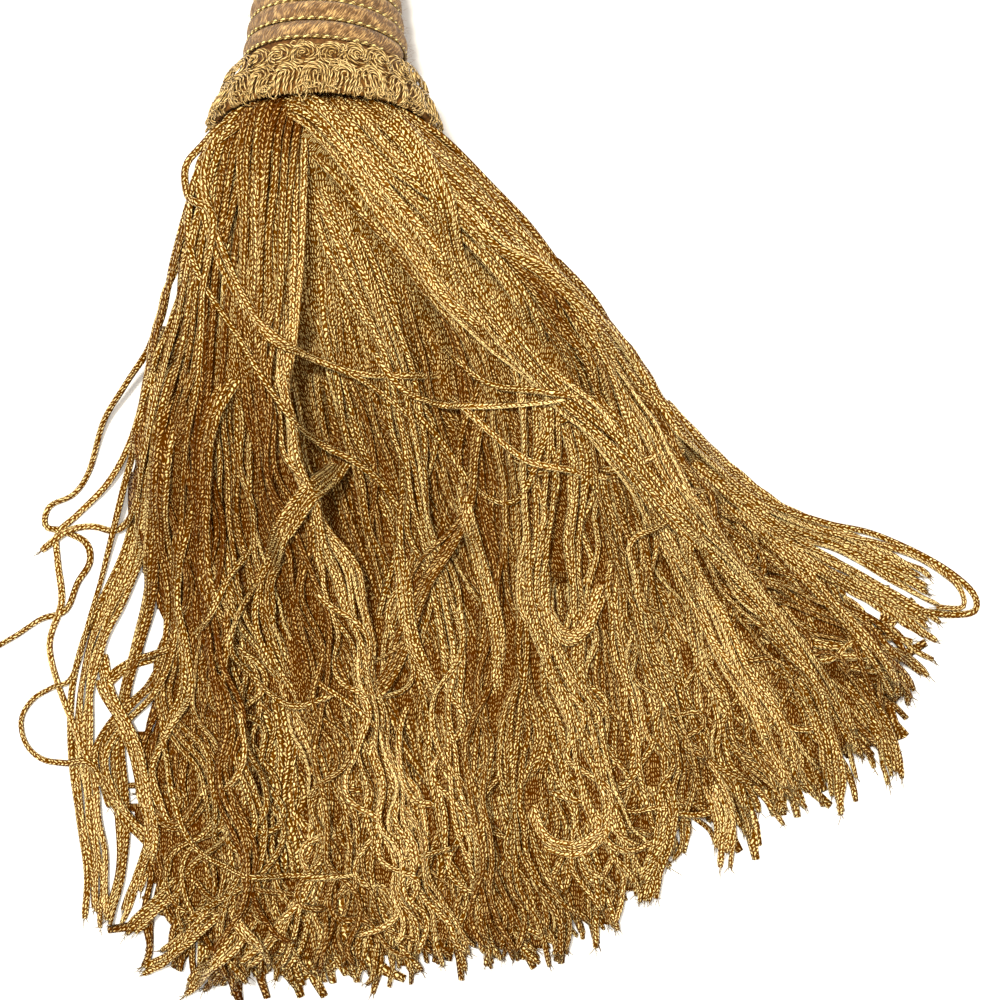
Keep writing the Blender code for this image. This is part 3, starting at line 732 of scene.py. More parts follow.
# How the tone of a whole ribbon or lock mixes with each strand's own, and how the left side is darkened with
# painted shade.
TONES = {"ribbon": 0.75, "strand": 0.25, "left_of": 0.35, "left": 1.2, "locks": (0.45, 1), "lock": 0.7,
         "own": 0.4, "most": 1.1}
# How far along a tucked end goes under, and how deep.
TUCK = {"reach": 0.0070, "strand": 0.0045, "lock": 0.0070}
# The fibres at a cut tip.
FRAY = {"fibres": 5, "length": (0.0010, 0.0022), "inside": 0.0004, "bend": 0.0005, "half": 0.00009,
        "lowest": 0.0001}
# The imported inside: its grid, how it opens away from the neck, its edges, and how light it is at the neck;
# further out it is darker with painted shade.
CORE = {"every": 3, "neck": 0.035, "opens_over": 0.040, "slope": 2.0, "rim": 0.0010, "thin": 0.0006,
        "tone_and_painted_light": 0.45}
# Where the roots lie in the ruff's mouth, and further in.
ROOT_R = 0.0225
MOUTH = {"levels": (-1, -0.4, 1), "heights": (-1, -0.05, 1.12), "round": 0.14, "along": -0.001, "wide": 1.01}
NECK = {"along": 0.009, "share": 0.5}
PLAN_STEP = 0.001


class Fan:
    """Where the fringe lies in plan: a place across it and a share of its length give a point."""

    def __init__(self):
        self.across = np.linspace(0, 1, 81)
        self.share = np.linspace(0, 1, 211)
        places = [row["across"] for row in FLOW]
        self.length = np.interp(self.across, places, [row["length"] for row in FLOW])
        at = np.array([np.interp(self.share, NECK_SHARES, row["headings"]) for row in FLOW])
        heading = np.radians([[np.interp(a, places, at[:, j]) for j in range(len(self.share))]
                              for a in self.across])
        step = (self.length / (len(self.share) - 1))[:, None]
        x = np.cumsum(np.sin(heading) * step, axis=1)
        y = np.cumsum(-np.cos(heading) * step, axis=1)
        start = (self.across - 0.5) * 2 * ROOT_R * 0.9
        self.x, self.y = x + start[:, None], y

    def at(self, across, share):
        """Points for arrays of places across and shares of the length."""
        i = np.clip(across, 0, 1) * (len(self.across) - 1)
        j = np.clip(share, 0, 1) * (len(self.share) - 1)
        i0 = np.minimum(i.astype(int), len(self.across) - 2)
        j0 = np.minimum(j.astype(int), len(self.share) - 2)
        fi, fj = i - i0, j - j0

        def read(grid):
            low = grid[i0, j0] * (1 - fj) + grid[i0, j0 + 1] * fj
            high = grid[i0 + 1, j0] * (1 - fj) + grid[i0 + 1, j0 + 1] * fj
            return low * (1 - fi) + high * fi

        return np.stack([read(self.x), read(self.y)], axis=-1)


class Heap:
    """A height map of the strands laid so far."""
    low = np.array((-0.100, -0.235))
    high = np.array((0.185, 0.012))
    cell = 0.0006

    def __init__(self):
        size = np.ceil((self.high - self.low) / self.cell).astype(int)
        self.top = np.zeros(size)

    def index(self, plan):
        at = np.clip(((plan - self.low) / self.cell).astype(int), 0, np.array(self.top.shape) - 1)
        return at[..., 0], at[..., 1]

    def spread(self, plan, half):
        """Points across a strand, at each point of its plan, with their shares of its half width."""
        shares = np.array((-1.0, -0.5, 0.0, 0.5, 1.0))
        return plan[:, None] + beside(plan)[:, None] * shares[None, :, None] * half, shares

    def settle(self, plan, natural, half, tall, free):
        """Heights of a strand's middle line where it lies on the heap; its first points are held up free."""
        soft = SETTLE["soft"]
        spread, _ = self.spread(plan, half)
        tops = self.top[self.index(spread)]
        need = 0.55 * tops.max(axis=1) + 0.45 * tops.mean(axis=1) + tall * SETTLE["pack"]
        need = np.where(np.arange(len(plan)) < free, natural, np.maximum(need, tall))
        z = np.maximum(natural, need)
        padded = np.pad(z, soft, mode="edge")
        z = np.max([padded[k:k + len(z)] for k in range(soft - 1, soft + 2)], axis=0)
        weights = np.exp(-0.5 * (np.arange(-soft, soft + 1) / (soft / 2)) ** 2)
        z = np.convolve(np.pad(z, soft, mode="edge"), weights / weights.sum(), mode="valid")
        return np.maximum(z, tall)

    def add(self, plan, z, half, tall):
        """Raises the map where a strand lies."""
        spread, shares = self.spread(plan, half)
        crown = z[:, None] + tall * np.sqrt(1 - 0.8 * shares**2)[None]
        i, j = self.index(spread)
        np.maximum.at(self.top, (i.ravel(), j.ravel()), crown.ravel())


# Routes in millimetres of strands that lie on top: how many keep together, the height of a root in the ruff,
# how bright they are and whether each end is tucked under (1) or lies free (0). Both are tucked under if it
# doesn't say.
LOCKS = (
    {"name": "parting", "strands": 5, "root": 0.0470, "shade": 1.2, "tucked": (0, 0),
     "x": (-7, 0, 8, 16, 24, 31, 40, 51, 65, 77, 87, 97, 107, 115),
     "y": (5, 1, -8, -19, -29, -39, -47, -56, -69, -85, -102, -122, -139, -157)},
    {"name": "second band", "strands": 3, "root": 0.0450, "tucked": (0, 0),
     "x": (5, 10, 17, 25, 33, 41, 52, 65, 79, 94, 109, 122, 132, 140),
     "y": (5, -1, -9, -15, -20, -28, -34, -46, -62, -78, -95, -110, -122, -135)},
    {"name": "third band", "strands": 4, "root": 0.0430, "tucked": (0, 0),
     "x": (13, 20, 26, 29, 31, 36, 45, 55, 67, 82, 97, 112, 122, 130),
     "y": (3, -4, -13, -20, -30, -39, -50, -61, -71, -88, -102, -120, -134, -149)},
    {"name": "left bight", "strands": 3,
     "x": (-14, -21, -25, -28, -29, -30, -27, -26), "y": (-51, -57, -64, -73, -85, -100, -112, -122)},
    {"name": "middle fold", "strands": 4,
     "x": (7, 2, -6, -12, -16, -15, -10, -6), "y": (-68, -77, -87, -96, -107, -119, -131, -140)},
    {"name": "long fall", "strands": 3,
     "x": (29, 32, 36, 40, 41, 42), "y": (-74, -85, -100, -114, -128, -143)},
    {"name": "short fall", "strands": 3,
     "x": (17, 17, 18, 20, 25, 28), "y": (-81, -95, -109, -121, -133, -143)},
    {"name": "round fold", "strands": 3,
     "x": (75, 68, 65, 62, 57, 53, 53, 55), "y": (-97, -103, -110, -117, -119, -113, -106, -98)},
    {"name": "low fold", "strands": 3,
     "x": (48, 49, 53, 61, 67, 65, 58), "y": (-154, -163, -170, -171, -166, -159, -157)},
    {"name": "edge band", "strands": 5, "tucked": (1, 0),
     "x": (78, 87, 99, 112, 127, 141, 153), "y": (-61, -71, -81, -90, -96, -103, -110)},
    {"name": "edge band below", "strands": 5, "tucked": (1, 0),
     "x": (84, 98, 113, 128, 142, 152), "y": (-73, -85, -97, -105, -113, -120)},
    {"name": "left edge", "strands": 5, "tucked": (1, 0),
     "x": (-38, -41, -44, -47, -50, -55, -60, -63, -63, -61, -59, -60),
     "y": (-44, -59, -73, -87, -99, -110, -121, -134, -149, -164, -179, -193)},
    {"name": "left edge inside", "strands": 3, "tucked": (1, 0),
     "x": (-35, -39, -42, -44, -46, -49, -52, -54, -53, -53, -56),
     "y": (-49, -66, -81, -95, -110, -122, -134, -148, -162, -177, -191)},
    {"name": "left net", "strands": 3,
     "x": (-36, -39, -41, -39, -40, -45, -53, -58, -55, -47, -38),
     "y": (-61, -78, -95, -110, -122, -132, -140, -149, -159, -169, -175)},
    {"name": "left net inside", "strands": 3,
     "x": (-32, -36, -38, -36, -36, -41, -45, -42, -36),
     "y": (-81, -95, -107, -120, -132, -143, -153, -163, -173)},
    {"name": "left net across", "strands": 2,
     "x": (-58, -52, -44, -37, -31), "y": (-132, -127, -124, -122, -120)},
    {"name": "left net low", "strands": 3,
     "x": (-59, -57, -51, -47, -45, -48, -53), "y": (-120, -132, -143, -157, -169, -179, -191)},
    {"name": "left tips", "strands": 3, "tucked": (1, 0),
     "x": (-32, -38, -45, -53), "y": (-171, -180, -187, -195)},
    {"name": "left tips below", "strands": 3, "tucked": (1, 0),
     "x": (-23, -31, -41, -49), "y": (-180, -189, -198, -203)},
    {"name": "left tips crossing", "strands": 3, "tucked": (1, 0),
     "x": (-15, -24, -31, -38), "y": (-182, -194, -201, -209)},
    {"name": "left tips across", "strands": 2, "tucked": (1, 0),
     "x": (-29, -23, -17, -15), "y": (-176, -187, -195, -202)},
    {"name": "right fall", "strands": 4, "tucked": (1, 0),
     "x": (103, 115, 121, 124, 125), "y": (-117, -129, -141, -153, -164)},
    {"name": "right tips", "strands": 4, "tucked": (1, 0),
     "x": (119, 130, 137, 140), "y": (-120, -133, -145, -156)},
    {"name": "notch edge", "strands": 4, "tucked": (1, 0),
     "x": (75, 82, 82, 79, 78), "y": (-148, -158, -168, -178, -185)},
    {"name": "right tuft", "strands": 4, "tucked": (1, 0),
     "x": (87, 93, 97, 97), "y": (-144, -154, -164, -177)},
)
LOOSE = (  # single strands, each with a way of its own
    {"name": "outer", "root": 0.0225, "tucked": (0, 0),
     "x": (-22, -30, -37, -42, -51, -57, -61, -65, -71, -72, -68, -62, -61, -64, -67, -73, -79, -86),
     "y": (2, -6, -26, -44, -57, -66, -78, -84, -87, -92, -93, -96, -101, -106, -113, -115, -119, -123)},
    {"name": "inner", "root": 0.0250, "tucked": (0, 0),
     "x": (-21, -27, -36, -45, -50, -56, -64, -69, -69, -68, -71, -69, -65, -60),
     "y": (2, -8, -30, -57, -71, -81, -89, -94, -101, -111, -121, -131, -141, -152)},
    {"name": "short", "root": 0.0280, "tucked": (0, 0),
     "x": (-20, -25, -33, -40, -45, -49, -54, -60, -66, -73),
     "y": (2, -12, -38, -62, -78, -88, -93, -92, -93, -98)},
    {"name": "loop", "root": 0.0300, "tucked": (0, 1),
     "x": (-19, -24, -37, -50, -60, -65, -70, -75, -78, -77, -73, -67, -60, -56),
     "y": (2, -10, -44, -78, -112, -129, -132, -135, -140, -146, -150, -151, -151, -162)},
    {"name": "long sweep", "root": 0.0440, "tucked": (0, 1),
     "x": (-14, -21, -27, -27, -22, -12, -3, 7, 17, 26), "y": (2, -3, -8, -17, -33, -48, -52, -56, -63, -71)},
    {"name": "second sweep", "root": 0.0400, "tucked": (0, 1),
     "x": (-19, -24, -30, -29, -19, -5, 6, 13, 19), "y": (2, -5, -17, -31, -48, -69, -76, -82, -92)},
    {"name": "side sweep", "root": 0.0380, "tucked": (0, 1),
     "x": (-20, -26, -21, -14, -5, 7, 18, 27, 31), "y": (2, -12, -31, -44, -51, -55, -56, -55, -52)},
    {"name": "small bight", "root": 0.0400, "tucked": (0, 1),
     "x": (-20, -27, -31, -30, -25, -24, -27, -29, -33, -37),
     "y": (2, -4, -9, -16, -19, -24, -38, -57, -73, -100)},
    {"name": "middle crossing",
     "x": (9, 17, 25, 34, 46, 55, 62), "y": (-46, -58, -62, -63, -63, -62, -59)},
    {"name": "upper crossing", "x": (18, 31, 39, 51, 65), "y": (-37, -52, -58, -60, -62)},
    {"name": "middle loop",
     "x": (18, 27, 34, 39, 44, 48, 51, 54, 61), "y": (-61, -71, -81, -85, -86, -82, -74, -68, -64)},
    {"name": "right crossing", "x": (25, 39, 48, 57, 67), "y": (-56, -69, -76, -78, -80)},
    {"name": "low crossing",
     "x": (-43, -40, -34, -25, -14, 0, 12), "y": (-134, -156, -171, -175, -177, -178, -177)},
    {"name": "low hook", "tucked": (1, 0),
     "x": (-15, -22, -23, -15, -9, 1), "y": (-100, -114, -123, -133, -136, -133)},
    {"name": "lower crossing",
     "x": (-9, -2, 6, 13, 17), "y": (-123, -131, -136, -143, -146)},
    {"name": "bent back", "tucked": (1, 0), "x": (22, 17, 17, 20, 25), "y": (-131, -140, -152, -159, -161)},
    {"name": "tip loop", "tucked": (1, 0), "x": (55, 65, 75, 80, 90, 105, 122, 135, 150, 159, 160, 154, 146),
     "y": (-27, -39, -52, -63, -74, -85, -91, -94, -101, -108, -113, -114, -113)},
    {"name": "tip loop below", "tucked": (1, 0), "x": (65, 74, 82, 93, 108, 122, 135, 146, 155, 157, 150),
     "y": (-41, -54, -68, -77, -88, -93, -96, -100, -106, -112, -112)},
)


SHADES = (  # painted shade (below zero) and painted highlight (above zero) on the fringe, in millimetres: the middle, reach and amount
    {"name": "under the ruff", "x": -5, "y": 2, "wide": 13, "long": 8, "tone": -0.60},
    {"name": "left hollow", "x": -30, "y": -87, "wide": 16, "long": 34, "tone": -0.55},
    {"name": "middle hollow", "x": 17, "y": -82, "wide": 13, "long": 26, "tone": -0.15},
    {"name": "shoulder", "x": 53, "y": -40, "wide": 8, "long": 8, "tone": -0.25},
    {"name": "right tips", "x": 125, "y": -130, "wide": 18, "long": 24, "tone": -0.25},
    {"name": "upper fall", "x": -4, "y": -40, "wide": 9, "long": 30, "tone": 0.30},
    {"name": "lower fall", "x": -7, "y": -160, "wide": 9, "long": 25, "tone": 0.15},
    {"name": "foot", "x": 22, "y": -162, "wide": 32, "long": 22, "tone": 0.18},
    {"name": "left edge", "x": -53, "y": -120, "wide": 11, "long": 50, "tone": -0.22},
    {"name": "right fall", "x": 87, "y": -127, "wide": 16, "long": 12, "tone": 0.22},
    {"name": "middle fall", "x": 35, "y": -155, "wide": 8, "long": 16, "tone": 0.15},
)


def shade_at(points):
    """The painted shade (below zero) and painted highlight (above zero) on the fringe at each point."""
    x, y = points[:, 0] / MM, points[:, 1] / MM
    return sum(row["tone"] * np.exp(-((x - row["x"]) / row["wide"])**2 - ((y - row["y"]) / row["long"])**2)
               for row in SHADES)


def smooth_route(x, y, step):
    """Points a step apart on a smooth curve through a table's places, given in millimetres."""
    places = np.column_stack([x, y]) * MM
    padded = np.vstack([2 * places[0] - places[1], places, 2 * places[-1] - places[-2]])
    t = np.linspace(0, 1, 12, endpoint=False)[:, None]
    fine = []
    for p0, p1, p2, p3 in zip(padded, padded[1:], padded[2:], padded[3:]):
        fine.append(0.5 * (2 * p1 + (p2 - p0) * t + (2 * p0 - 5 * p1 + 4 * p2 - p3) * t**2
                           + (3 * p1 - p0 - 3 * p2 + p3) * t**3))
    return resample(np.concatenate([*fine, places[-1:]]), step)


def ribbon_plan(fan, chance, start, end, n, restless, open_by):
    """The middle line of a ribbon of strands that keep together, and how far it is spread at each point."""
    share = np.linspace(0, 1, n)
    shift = np.clip((share - RIBBON["shift_from"]) / RIBBON["shift_over"], 0, 1)
    plan = fan.at(start + (end - start) * shift**2 * (3 - 2 * shift), share)
    bend = wander(chance, share, WAVES["ribbon"], restless)
    twist = wander(chance, share, WAVES["ribbon's twist"]) * min(restless, 1)
    ending = np.clip((share - RIBBON["narrow_from"]) / RIBBON["narrow_over"], 0, 1)
    narrow = 1 - RIBBON["narrow_by"] * ending * chance.uniform()
    narrow *= 1 + open_by * np.clip(share / RIBBON["open_over"], 0, 1)
    twist = np.clip(twist - twist[0], -RIBBON["most_twist"], RIBBON["most_twist"])
    return turned(plan, bend), np.cos(twist) * narrow


def beside(plan):
    """Unit steps sideways from a plan, at each of its points."""
    way = unit(np.gradient(plan, axis=0))
    return np.stack([-way[:, 1], way[:, 0]], axis=-1)


def turned(plan, bend):
    """The same plan with its heading turned by some degrees at each point."""
    step = np.diff(plan, axis=0)
    heading = np.arctan2(step[:, 0], -step[:, 1]) + np.radians(bend[1:])
    moves = np.stack([np.sin(heading), -np.cos(heading)], axis=-1) * np.hypot(*step.T)[:, None]
    return np.concatenate([plan[:1], plan[0] + np.cumsum(moves, axis=0)])


def strand_plan(chance, ribbon, spread, root, offset, n, wild):
    """The plan of one strand: its ribbon's, moved sideways, with a waver and a tip of its own."""
    n = min(n, len(ribbon))
    share = np.linspace(0, 1, n)
    plan = ribbon[:n] + beside(ribbon[:n]) * (offset * spread[:n])[:, None]
    ease = np.clip(1 - share / STRAND["join_over"], 0, 1)
    plan = plan + (root[:2] - plan[0]) * (ease**2 * (3 - 2 * ease))[:, None]
    bend = wander(chance, share, WAVES["strand"])
    if wild:
        bend += wander(chance, share, WAVES["wild strand"])
    hook = np.clip((share - chance.uniform(*STRAND["hook_from"])) / STRAND["hook_over"], 0, 1)
    hook = hook * chance.normal() * STRAND["sharp_hook" if chance.uniform() < STRAND["sharp"] else "hook"]
    return turned(plan, bend + hook)


def fall(root_z, n):
    """Heights of a strand that only its own stiffness holds up."""
    length = SETTLE["fall"] + SETTLE["fall_per_height"] * root_z
    t = np.clip(np.arange(n) * PLAN_STEP / length, 0, 1)
    return root_z * (1 - t) ** 2 * (1 + 2 * t)


def swell(n):
    """How far the strands bulge just past the ruff, which holds them tight."""
    t = np.clip(np.arange(n) * PLAN_STEP / SETTLE["swell_length"], 0, 1)
    return SETTLE["swell"] * np.sin(math.pi * t**0.7) ** 2


def skirt_ribbons(chance, strands):
    """Roots in rows across the ruff's mouth, lowest first, split into ribbons: a level and places across."""
    rows = round(math.sqrt(strands * 4 / math.pi))
    for row in range(rows):
        level = (row + 0.5) / rows * 2 - 1
        chord = math.sqrt(1 - level**2)
        count = max(3, round(rows * chord))
        places = (np.arange(count) + (0.3, 0.7)[row % 2]) / count * 2 - 1
        ribbons, start = [], 0
        while start < count:
            size = int(chance.integers(*RIBBON["strands"]))
            if count - start - size < RIBBON["fewest"]:
                size = count - start
            ribbons.append(places[start:start + size] * chord)
            start += size
        for k in chance.permutation(len(ribbons)):
            yield level, chord, ribbons[k]


def ribbon_across(chance, level, chord, x):
    """Where a ribbon starts and ends across the skirt; the topmost are parted and swept to the +X side."""
    plain = min(max(0.5 + 0.63 * (0.35 * x / chord + 0.65 * x), 0.0), 1.0)
    swept = min(max((level - LEVELS["parted"]) / PARTING["over_levels"], 0), 1)
    start, end = (plain + (np.interp(plain, PARTING["across"], PARTING[place]) - plain) * swept
                  for place in ("start", "end"))
    start += chance.normal() * RAGGED["start"]
    end += chance.normal() * RAGGED["end" if level > LEVELS["low"] else "low_end"]
    return min(max(start, 0), 0.96), min(max(end, 0.14), 0.91)


def strays(chance, fan, heap, count):
    """Routes of short strands that have strayed across the others; only those wholly on the heap are kept."""
    for _ in range(count):
        across, share = chance.uniform(*STRAY["across"]), chance.uniform(*STRAY["share"])
        start, ahead = fan.at(np.full(2, across), np.array((share, share + 0.02)))
        reach = chance.uniform(*STRAY["length"])
        way = (ahead - start) / np.linalg.norm(ahead - start) * PLAN_STEP
        straight = start + way * np.arange(int(reach / PLAN_STEP))[:, None]
        along = np.linspace(0, 1, len(straight))
        route = turned(straight, chance.normal() * STRAY["turn"] + wander(chance, along, WAVES["stray"]))
        if heap.top[heap.index(route)].min() > STRAY["lowest"]:
            yield {"route": route}


def choose_ribbon(chance, fan, heap, level, chord, middle):
    """The best of a few ribbons: low ones lie where the heap is low, and all prefer bare places."""
    ways = []
    low, (left, right) = level < LEVELS["low"], EDGES
    for k in range(RIBBON["tries"]):
        start, end = ribbon_across(chance, level, chord, middle)
        length = np.interp(end, fan.across, fan.length) + chance.normal() * RAGGED["ribbon"]
        calm = level < LEVELS["parted"] or end > right
        restless = 0.4 if low else chance.uniform(1.0, 1.8 if calm else 3.0)
        ribbon, spread = ribbon_plan(fan, chance, start, end, int((length + RAGGED["spare"]) / PLAN_STEP),
                                     restless, 0.7 if low or end < left else 0.1)
        under = heap.top[heap.index(heap.spread(ribbon[len(ribbon) // 4:], 0.004)[0])]
        bare = (under < 0.0001).mean() * (end > left)
        ways.append((under.mean() * (level < LEVELS["top"]) - 0.5 * bare, k, (end, length, ribbon, spread)))
    return min(ways)[2]


def lay_ribbons(chance, fan, heap, settings):
    """Lays the strands of the fan, ribbon by ribbon, and gives each one's piece, level, line and tone."""
    half, tall = settings.strand_width / 2, settings.strand_width * SETTLE["flat"]
    for level, chord, places in skirt_ribbons(chance, settings.strands):
        end, length, ribbon, spread = choose_ribbon(chance, fan, heap, level, chord, places.mean())
        sector = ("skirt_left", "skirt_middle", "skirt_right")[int(end * 3)]
        tone = chance.uniform()
        for k in chance.permutation(len(places)):
            x = places[k]
            low, middle, top = MOUTH["heights"]
            high = np.interp(level, MOUTH["levels"], (low, middle, top - MOUTH["round"] * (1 - abs(x))))
            root = on_axis(MOUTH["along"], 0, 0) + SIDE * x * ROOT_R * MOUTH["wide"] + RISE * high * ROOT_R
            offset = (k - (len(places) - 1) / 2) * settings.strand_width * SETTLE["beside"]
            ragged = chance.normal() * (RAGGED["strand"] + RAGGED["right"] * (end > 0.55))
            n = int((length + ragged) / PLAN_STEP)
            plan = strand_plan(chance, ribbon, spread, root, offset, n, chance.uniform() < STRAND["wild"])
            natural = fall(root[2], len(plan)) + swell(len(plan)) * max(level, 0) ** 0.5
            z = heap.settle(plan, natural, half, tall, int(len(plan) * SETTLE["free_share"]))
            heap.add(plan, z, half, tall)
            neck = on_axis(NECK["along"], 0, 0) + (SIDE * x + RISE * high) * ROOT_R * NECK["share"]
            line = np.column_stack([plan, z])
            lead = np.linspace(0, 1, 9, endpoint=False)[:, None]
            # Ribbons that end towards the left get a lower tone: painted shade on that side.
            yield {"piece": "skirt_under" if level < -0.15 else sector, "level": level,
                   "line": np.vstack([neck + (line[0] - neck) * lead, line]),
                   "tone": TONES["ribbon"] * tone + TONES["strand"] * chance.uniform()
                   - TONES["left"] * max(TONES["left_of"] - end, 0)}


def lay_routes(chance, fan, heap, settings):
    """Lays the locks, strays and loose strands on top, and gives the same of each strand."""
    half, tall = settings.strand_width / 2, settings.strand_width * SETTLE["flat"]
    for row in (*LOCKS, *strays(chance, fan, heap, settings.strays), *LOOSE):
        route = row["route"] if "route" in row else smooth_route(row["x"], row["y"], PLAN_STEP)
        n = len(route)
        root, count = row.get("root"), row.get("strands", 1)
        piece, depth = ("skirt_locks", TUCK["lock"]) if count > 1 else ("skirt_loose", TUCK["strand"])
        share = np.linspace(0, 1, n)
        twist = np.cos(wander(chance, share, WAVES["lock's twist"])) if count > 1 else 1
        shade = row.get("shade", chance.uniform(*TONES["locks"]))
        for k in range(count):
            offset = (k - (count - 1) / 2) * settings.strand_width * SETTLE["beside"]
            short, shorter = (int(abs(chance.normal()) * 5) if count > 1 else 0 for _ in range(2))
            kept = slice(0 if root else short, n - shorter)
            plan = (route + beside(route) * np.reshape(offset * twist, (-1, 1)))[kept]
            if count > 1:
                plan = turned(plan, wander(chance, share[kept], WAVES["lock"]))
            natural = fall(root, len(plan)) if root else np.zeros(len(plan))
            z = heap.settle(plan, natural, half, tall, SETTLE["free_points"] if root else 0)
            heap.add(plan, z, half, tall)
            run = np.arange(len(plan)) * PLAN_STEP
            for tucked, reach in zip(row.get("tucked", (1, 1)), (run, run[::-1])):
                z = z - depth * np.exp(-(reach / TUCK["reach"]) ** 2) * tucked
            yield {"piece": piece, "level": 1.0, "line": np.column_stack([plan, np.maximum(z, tall)]),
                   "tone": min(shade * TONES["lock"] + TONES["own"] * chance.uniform(), TONES["most"])}


def spread_out(grid, reach, pick):
    """Each cell of a grid given the pick of the cells up to a reach away."""
    for axis in (0, 1):
        grid = pick([np.roll(grid, k, axis) for k in range(-reach, reach + 1)], axis=0)
    return grid


def core_relief(heap, depth):
    """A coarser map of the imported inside: its height, where there is any, and how far from the neck it opens.

    At the neck it follows the heap's mean level, further out the low places between the strands, and at its
    two sides it slopes down to the surface."""
    every = CORE["every"]
    closed = spread_out(spread_out(heap.top, 2, np.max), 2, np.min)
    low = spread_out(spread_out(closed, 3, np.min), 2, np.mean)[::every, ::every]
    level = spread_out(closed, 3, np.mean)[::every, ::every]
    from_neck = -(heap.low[1] + np.arange(low.shape[1]) * heap.cell * every)
    opening = np.clip((from_neck - CORE["neck"]) / CORE["opens_over"], 0, 1)
    high = level + (low - level) * opening - depth * (0.8 + 0.2 * opening)
    full = (high > 0.001) & (low > 0.001)
    inset, inside = np.zeros(full.shape), full
    for _ in range(20):
        inside = np.min([np.roll(inside, k, 0) for k in (-1, 0, 1)], axis=0)
        inset += inside
    return np.minimum(high, CORE["rim"] + CORE["slope"] * inset * heap.cell * every), full, opening


def full_cells(full):
    """The cells whose four corners are full; where two would touch by a corner only, they are joined."""
    cells = full[:-1, :-1] & full[1:, :-1] & full[:-1, 1:] & full[1:, 1:]
    for _ in range(4):
        a, b, c, d = cells[:-1, :-1], cells[1:, :-1], cells[:-1, 1:], cells[1:, 1:]
        for i, j in np.argwhere((a & d & ~b & ~c) | (b & c & ~a & ~d)):
            cells[i:i + 2, j:j + 2] = True
    return cells


def closed_faces(cells, wide, count):
    """Faces over the full cells of a grid, the same below, count points on, and walls round their rim."""
    i, j = np.nonzero(cells)
    top = np.stack([i * wide + j, (i + 1) * wide + j, (i + 1) * wide + j + 1, i * wide + j + 1], axis=1)
    edges = np.stack([top, np.roll(top, -1, axis=1)], axis=-1).reshape(-1, 2)
    rim = edges[~np.isin(edges[:, 1] * count + edges[:, 0], edges[:, 0] * count + edges[:, 1])]
    walls = np.column_stack([rim[:, 1], rim[:, 0], rim[:, 0] + count, rim[:, 1] + count])
    return np.concatenate([top, top[:, ::-1] + count, walls])


def skirt_core(heap, settings, finish):
    """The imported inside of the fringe, just under its top strands: a relief of their heap, closed below."""
    high, full, opening = core_relief(heap, settings.core_depth)
    cell, wide, count = heap.cell * CORE["every"], high.shape[1], high.size
    climb = np.diff(spread_out(high, 5, np.mean), axis=0, prepend=0)
    across = np.cumsum(np.hypot(cell, climb), axis=0)
    used, faces = np.unique(closed_faces(full_cells(full), wide, count), return_inverse=True)
    faces = faces.reshape(-1, 4)
    row, column = np.divmod(used % count, wide)
    place = heap.low + np.column_stack([row, column]) * cell
    z = np.where(used < count, np.maximum(high[row, column], CORE["thin"]), REST)
    run = np.column_stack([across[row, column], -place[:, 1]])
    run = run / (settings.strand_width * 2, settings.stitch_length)
    # The inside's second tone falls where it opens into the low places between the strands: painted shade
    # there.
    show("skirt_core", "skirt", finish, np.column_stack([place, z]), faces.tolist(), run[faces.ravel()],
         np.zeros(len(used)), CORE["tone_and_painted_light"] * (1 - opening[column]))


def add_strand(bundle, chance, settings, strand, step, sides, fuller, evened):
    """Skins one strand: slightly flat, slowly turning over along its way, a little fuller to its tip."""
    line = resample(strand["line"], step)
    tone = strand["tone"]
    share = np.linspace(0, 1, len(line))
    narrow = SECTION["narrow_by"] * np.clip(share / SECTION["narrow_over"], 0, 1)
    half = settings.strand_width / 2 * (SECTION["root"] - narrow + SECTION["tip"] * share)
    wide, tall = half * (1 + (fuller - 1) * share), half * SECTION["flat"]
    turn = chance.normal() * SECTION["turn"] + wander(chance, share, WAVES["strand's turn"])
    low = np.hypot(wide * np.sin(turn), tall * np.cos(turn)) * SECTION["clear"]
    line[:, 2] = np.maximum(line[:, 2], low)
    # The second tone evens the tones near the root and adds painted shade and highlight from the table of
    # shades.
    tone_and_painted_light = (0.5 - tone) * evened * np.clip(1 - share / SECTION["narrow_over"], 0, 1) + shade_at(line)
    bundle.tube(line, wide, tall, turn, sides, settings.stitch_length, tone, tone_and_painted_light=tone_and_painted_light)


def fray(bundle, chance, settings, line, tone):
    """The fibres that a cut tip opens into."""
    tip = line[-1]
    way = (tip - line[-3]) / np.linalg.norm(tip - line[-3])
    t = np.linspace(0, 1, 4)[:, None]
    for _ in range(FRAY["fibres"]):
        lean = way + chance.normal(size=3) * 0.3
        length = chance.uniform(*FRAY["length"])
        start = tip - way * FRAY["inside"] + chance.normal(size=3) * settings.strand_width * 0.16
        fibre = start + lean * length * t + chance.normal(size=3) * FRAY["bend"] * t**2
        fibre[:, 2] = np.maximum(fibre[:, 2], FRAY["lowest"])
        bundle.tube(fibre, FRAY["half"], FRAY["half"], 0.0, 3, 0.0012, tone, tip=0.6)


SKINS = {  # how finely the strands of each piece are made, their fuller tips and how alike their tones start
    "skirt_under": {"step": 0.0050, "sides": 5, "fuller": 1.6, "evened": 0.7},
    "skirt_left": {"step": 0.0019, "sides": 6, "fuller": 1.0, "evened": 0.7},
    "skirt_middle": {"step": 0.0019, "sides": 6, "fuller": 1.0, "evened": 0.7},
    "skirt_right": {"step": 0.0019, "sides": 6, "fuller": 1.0, "evened": 0.7},
    "skirt_loose": {"step": 0.0012, "sides": 8, "fuller": 1.0, "evened": 0.7},
    "skirt_locks": {"step": 0.0015, "sides": 7, "fuller": 1.0, "evened": 0.0},
}


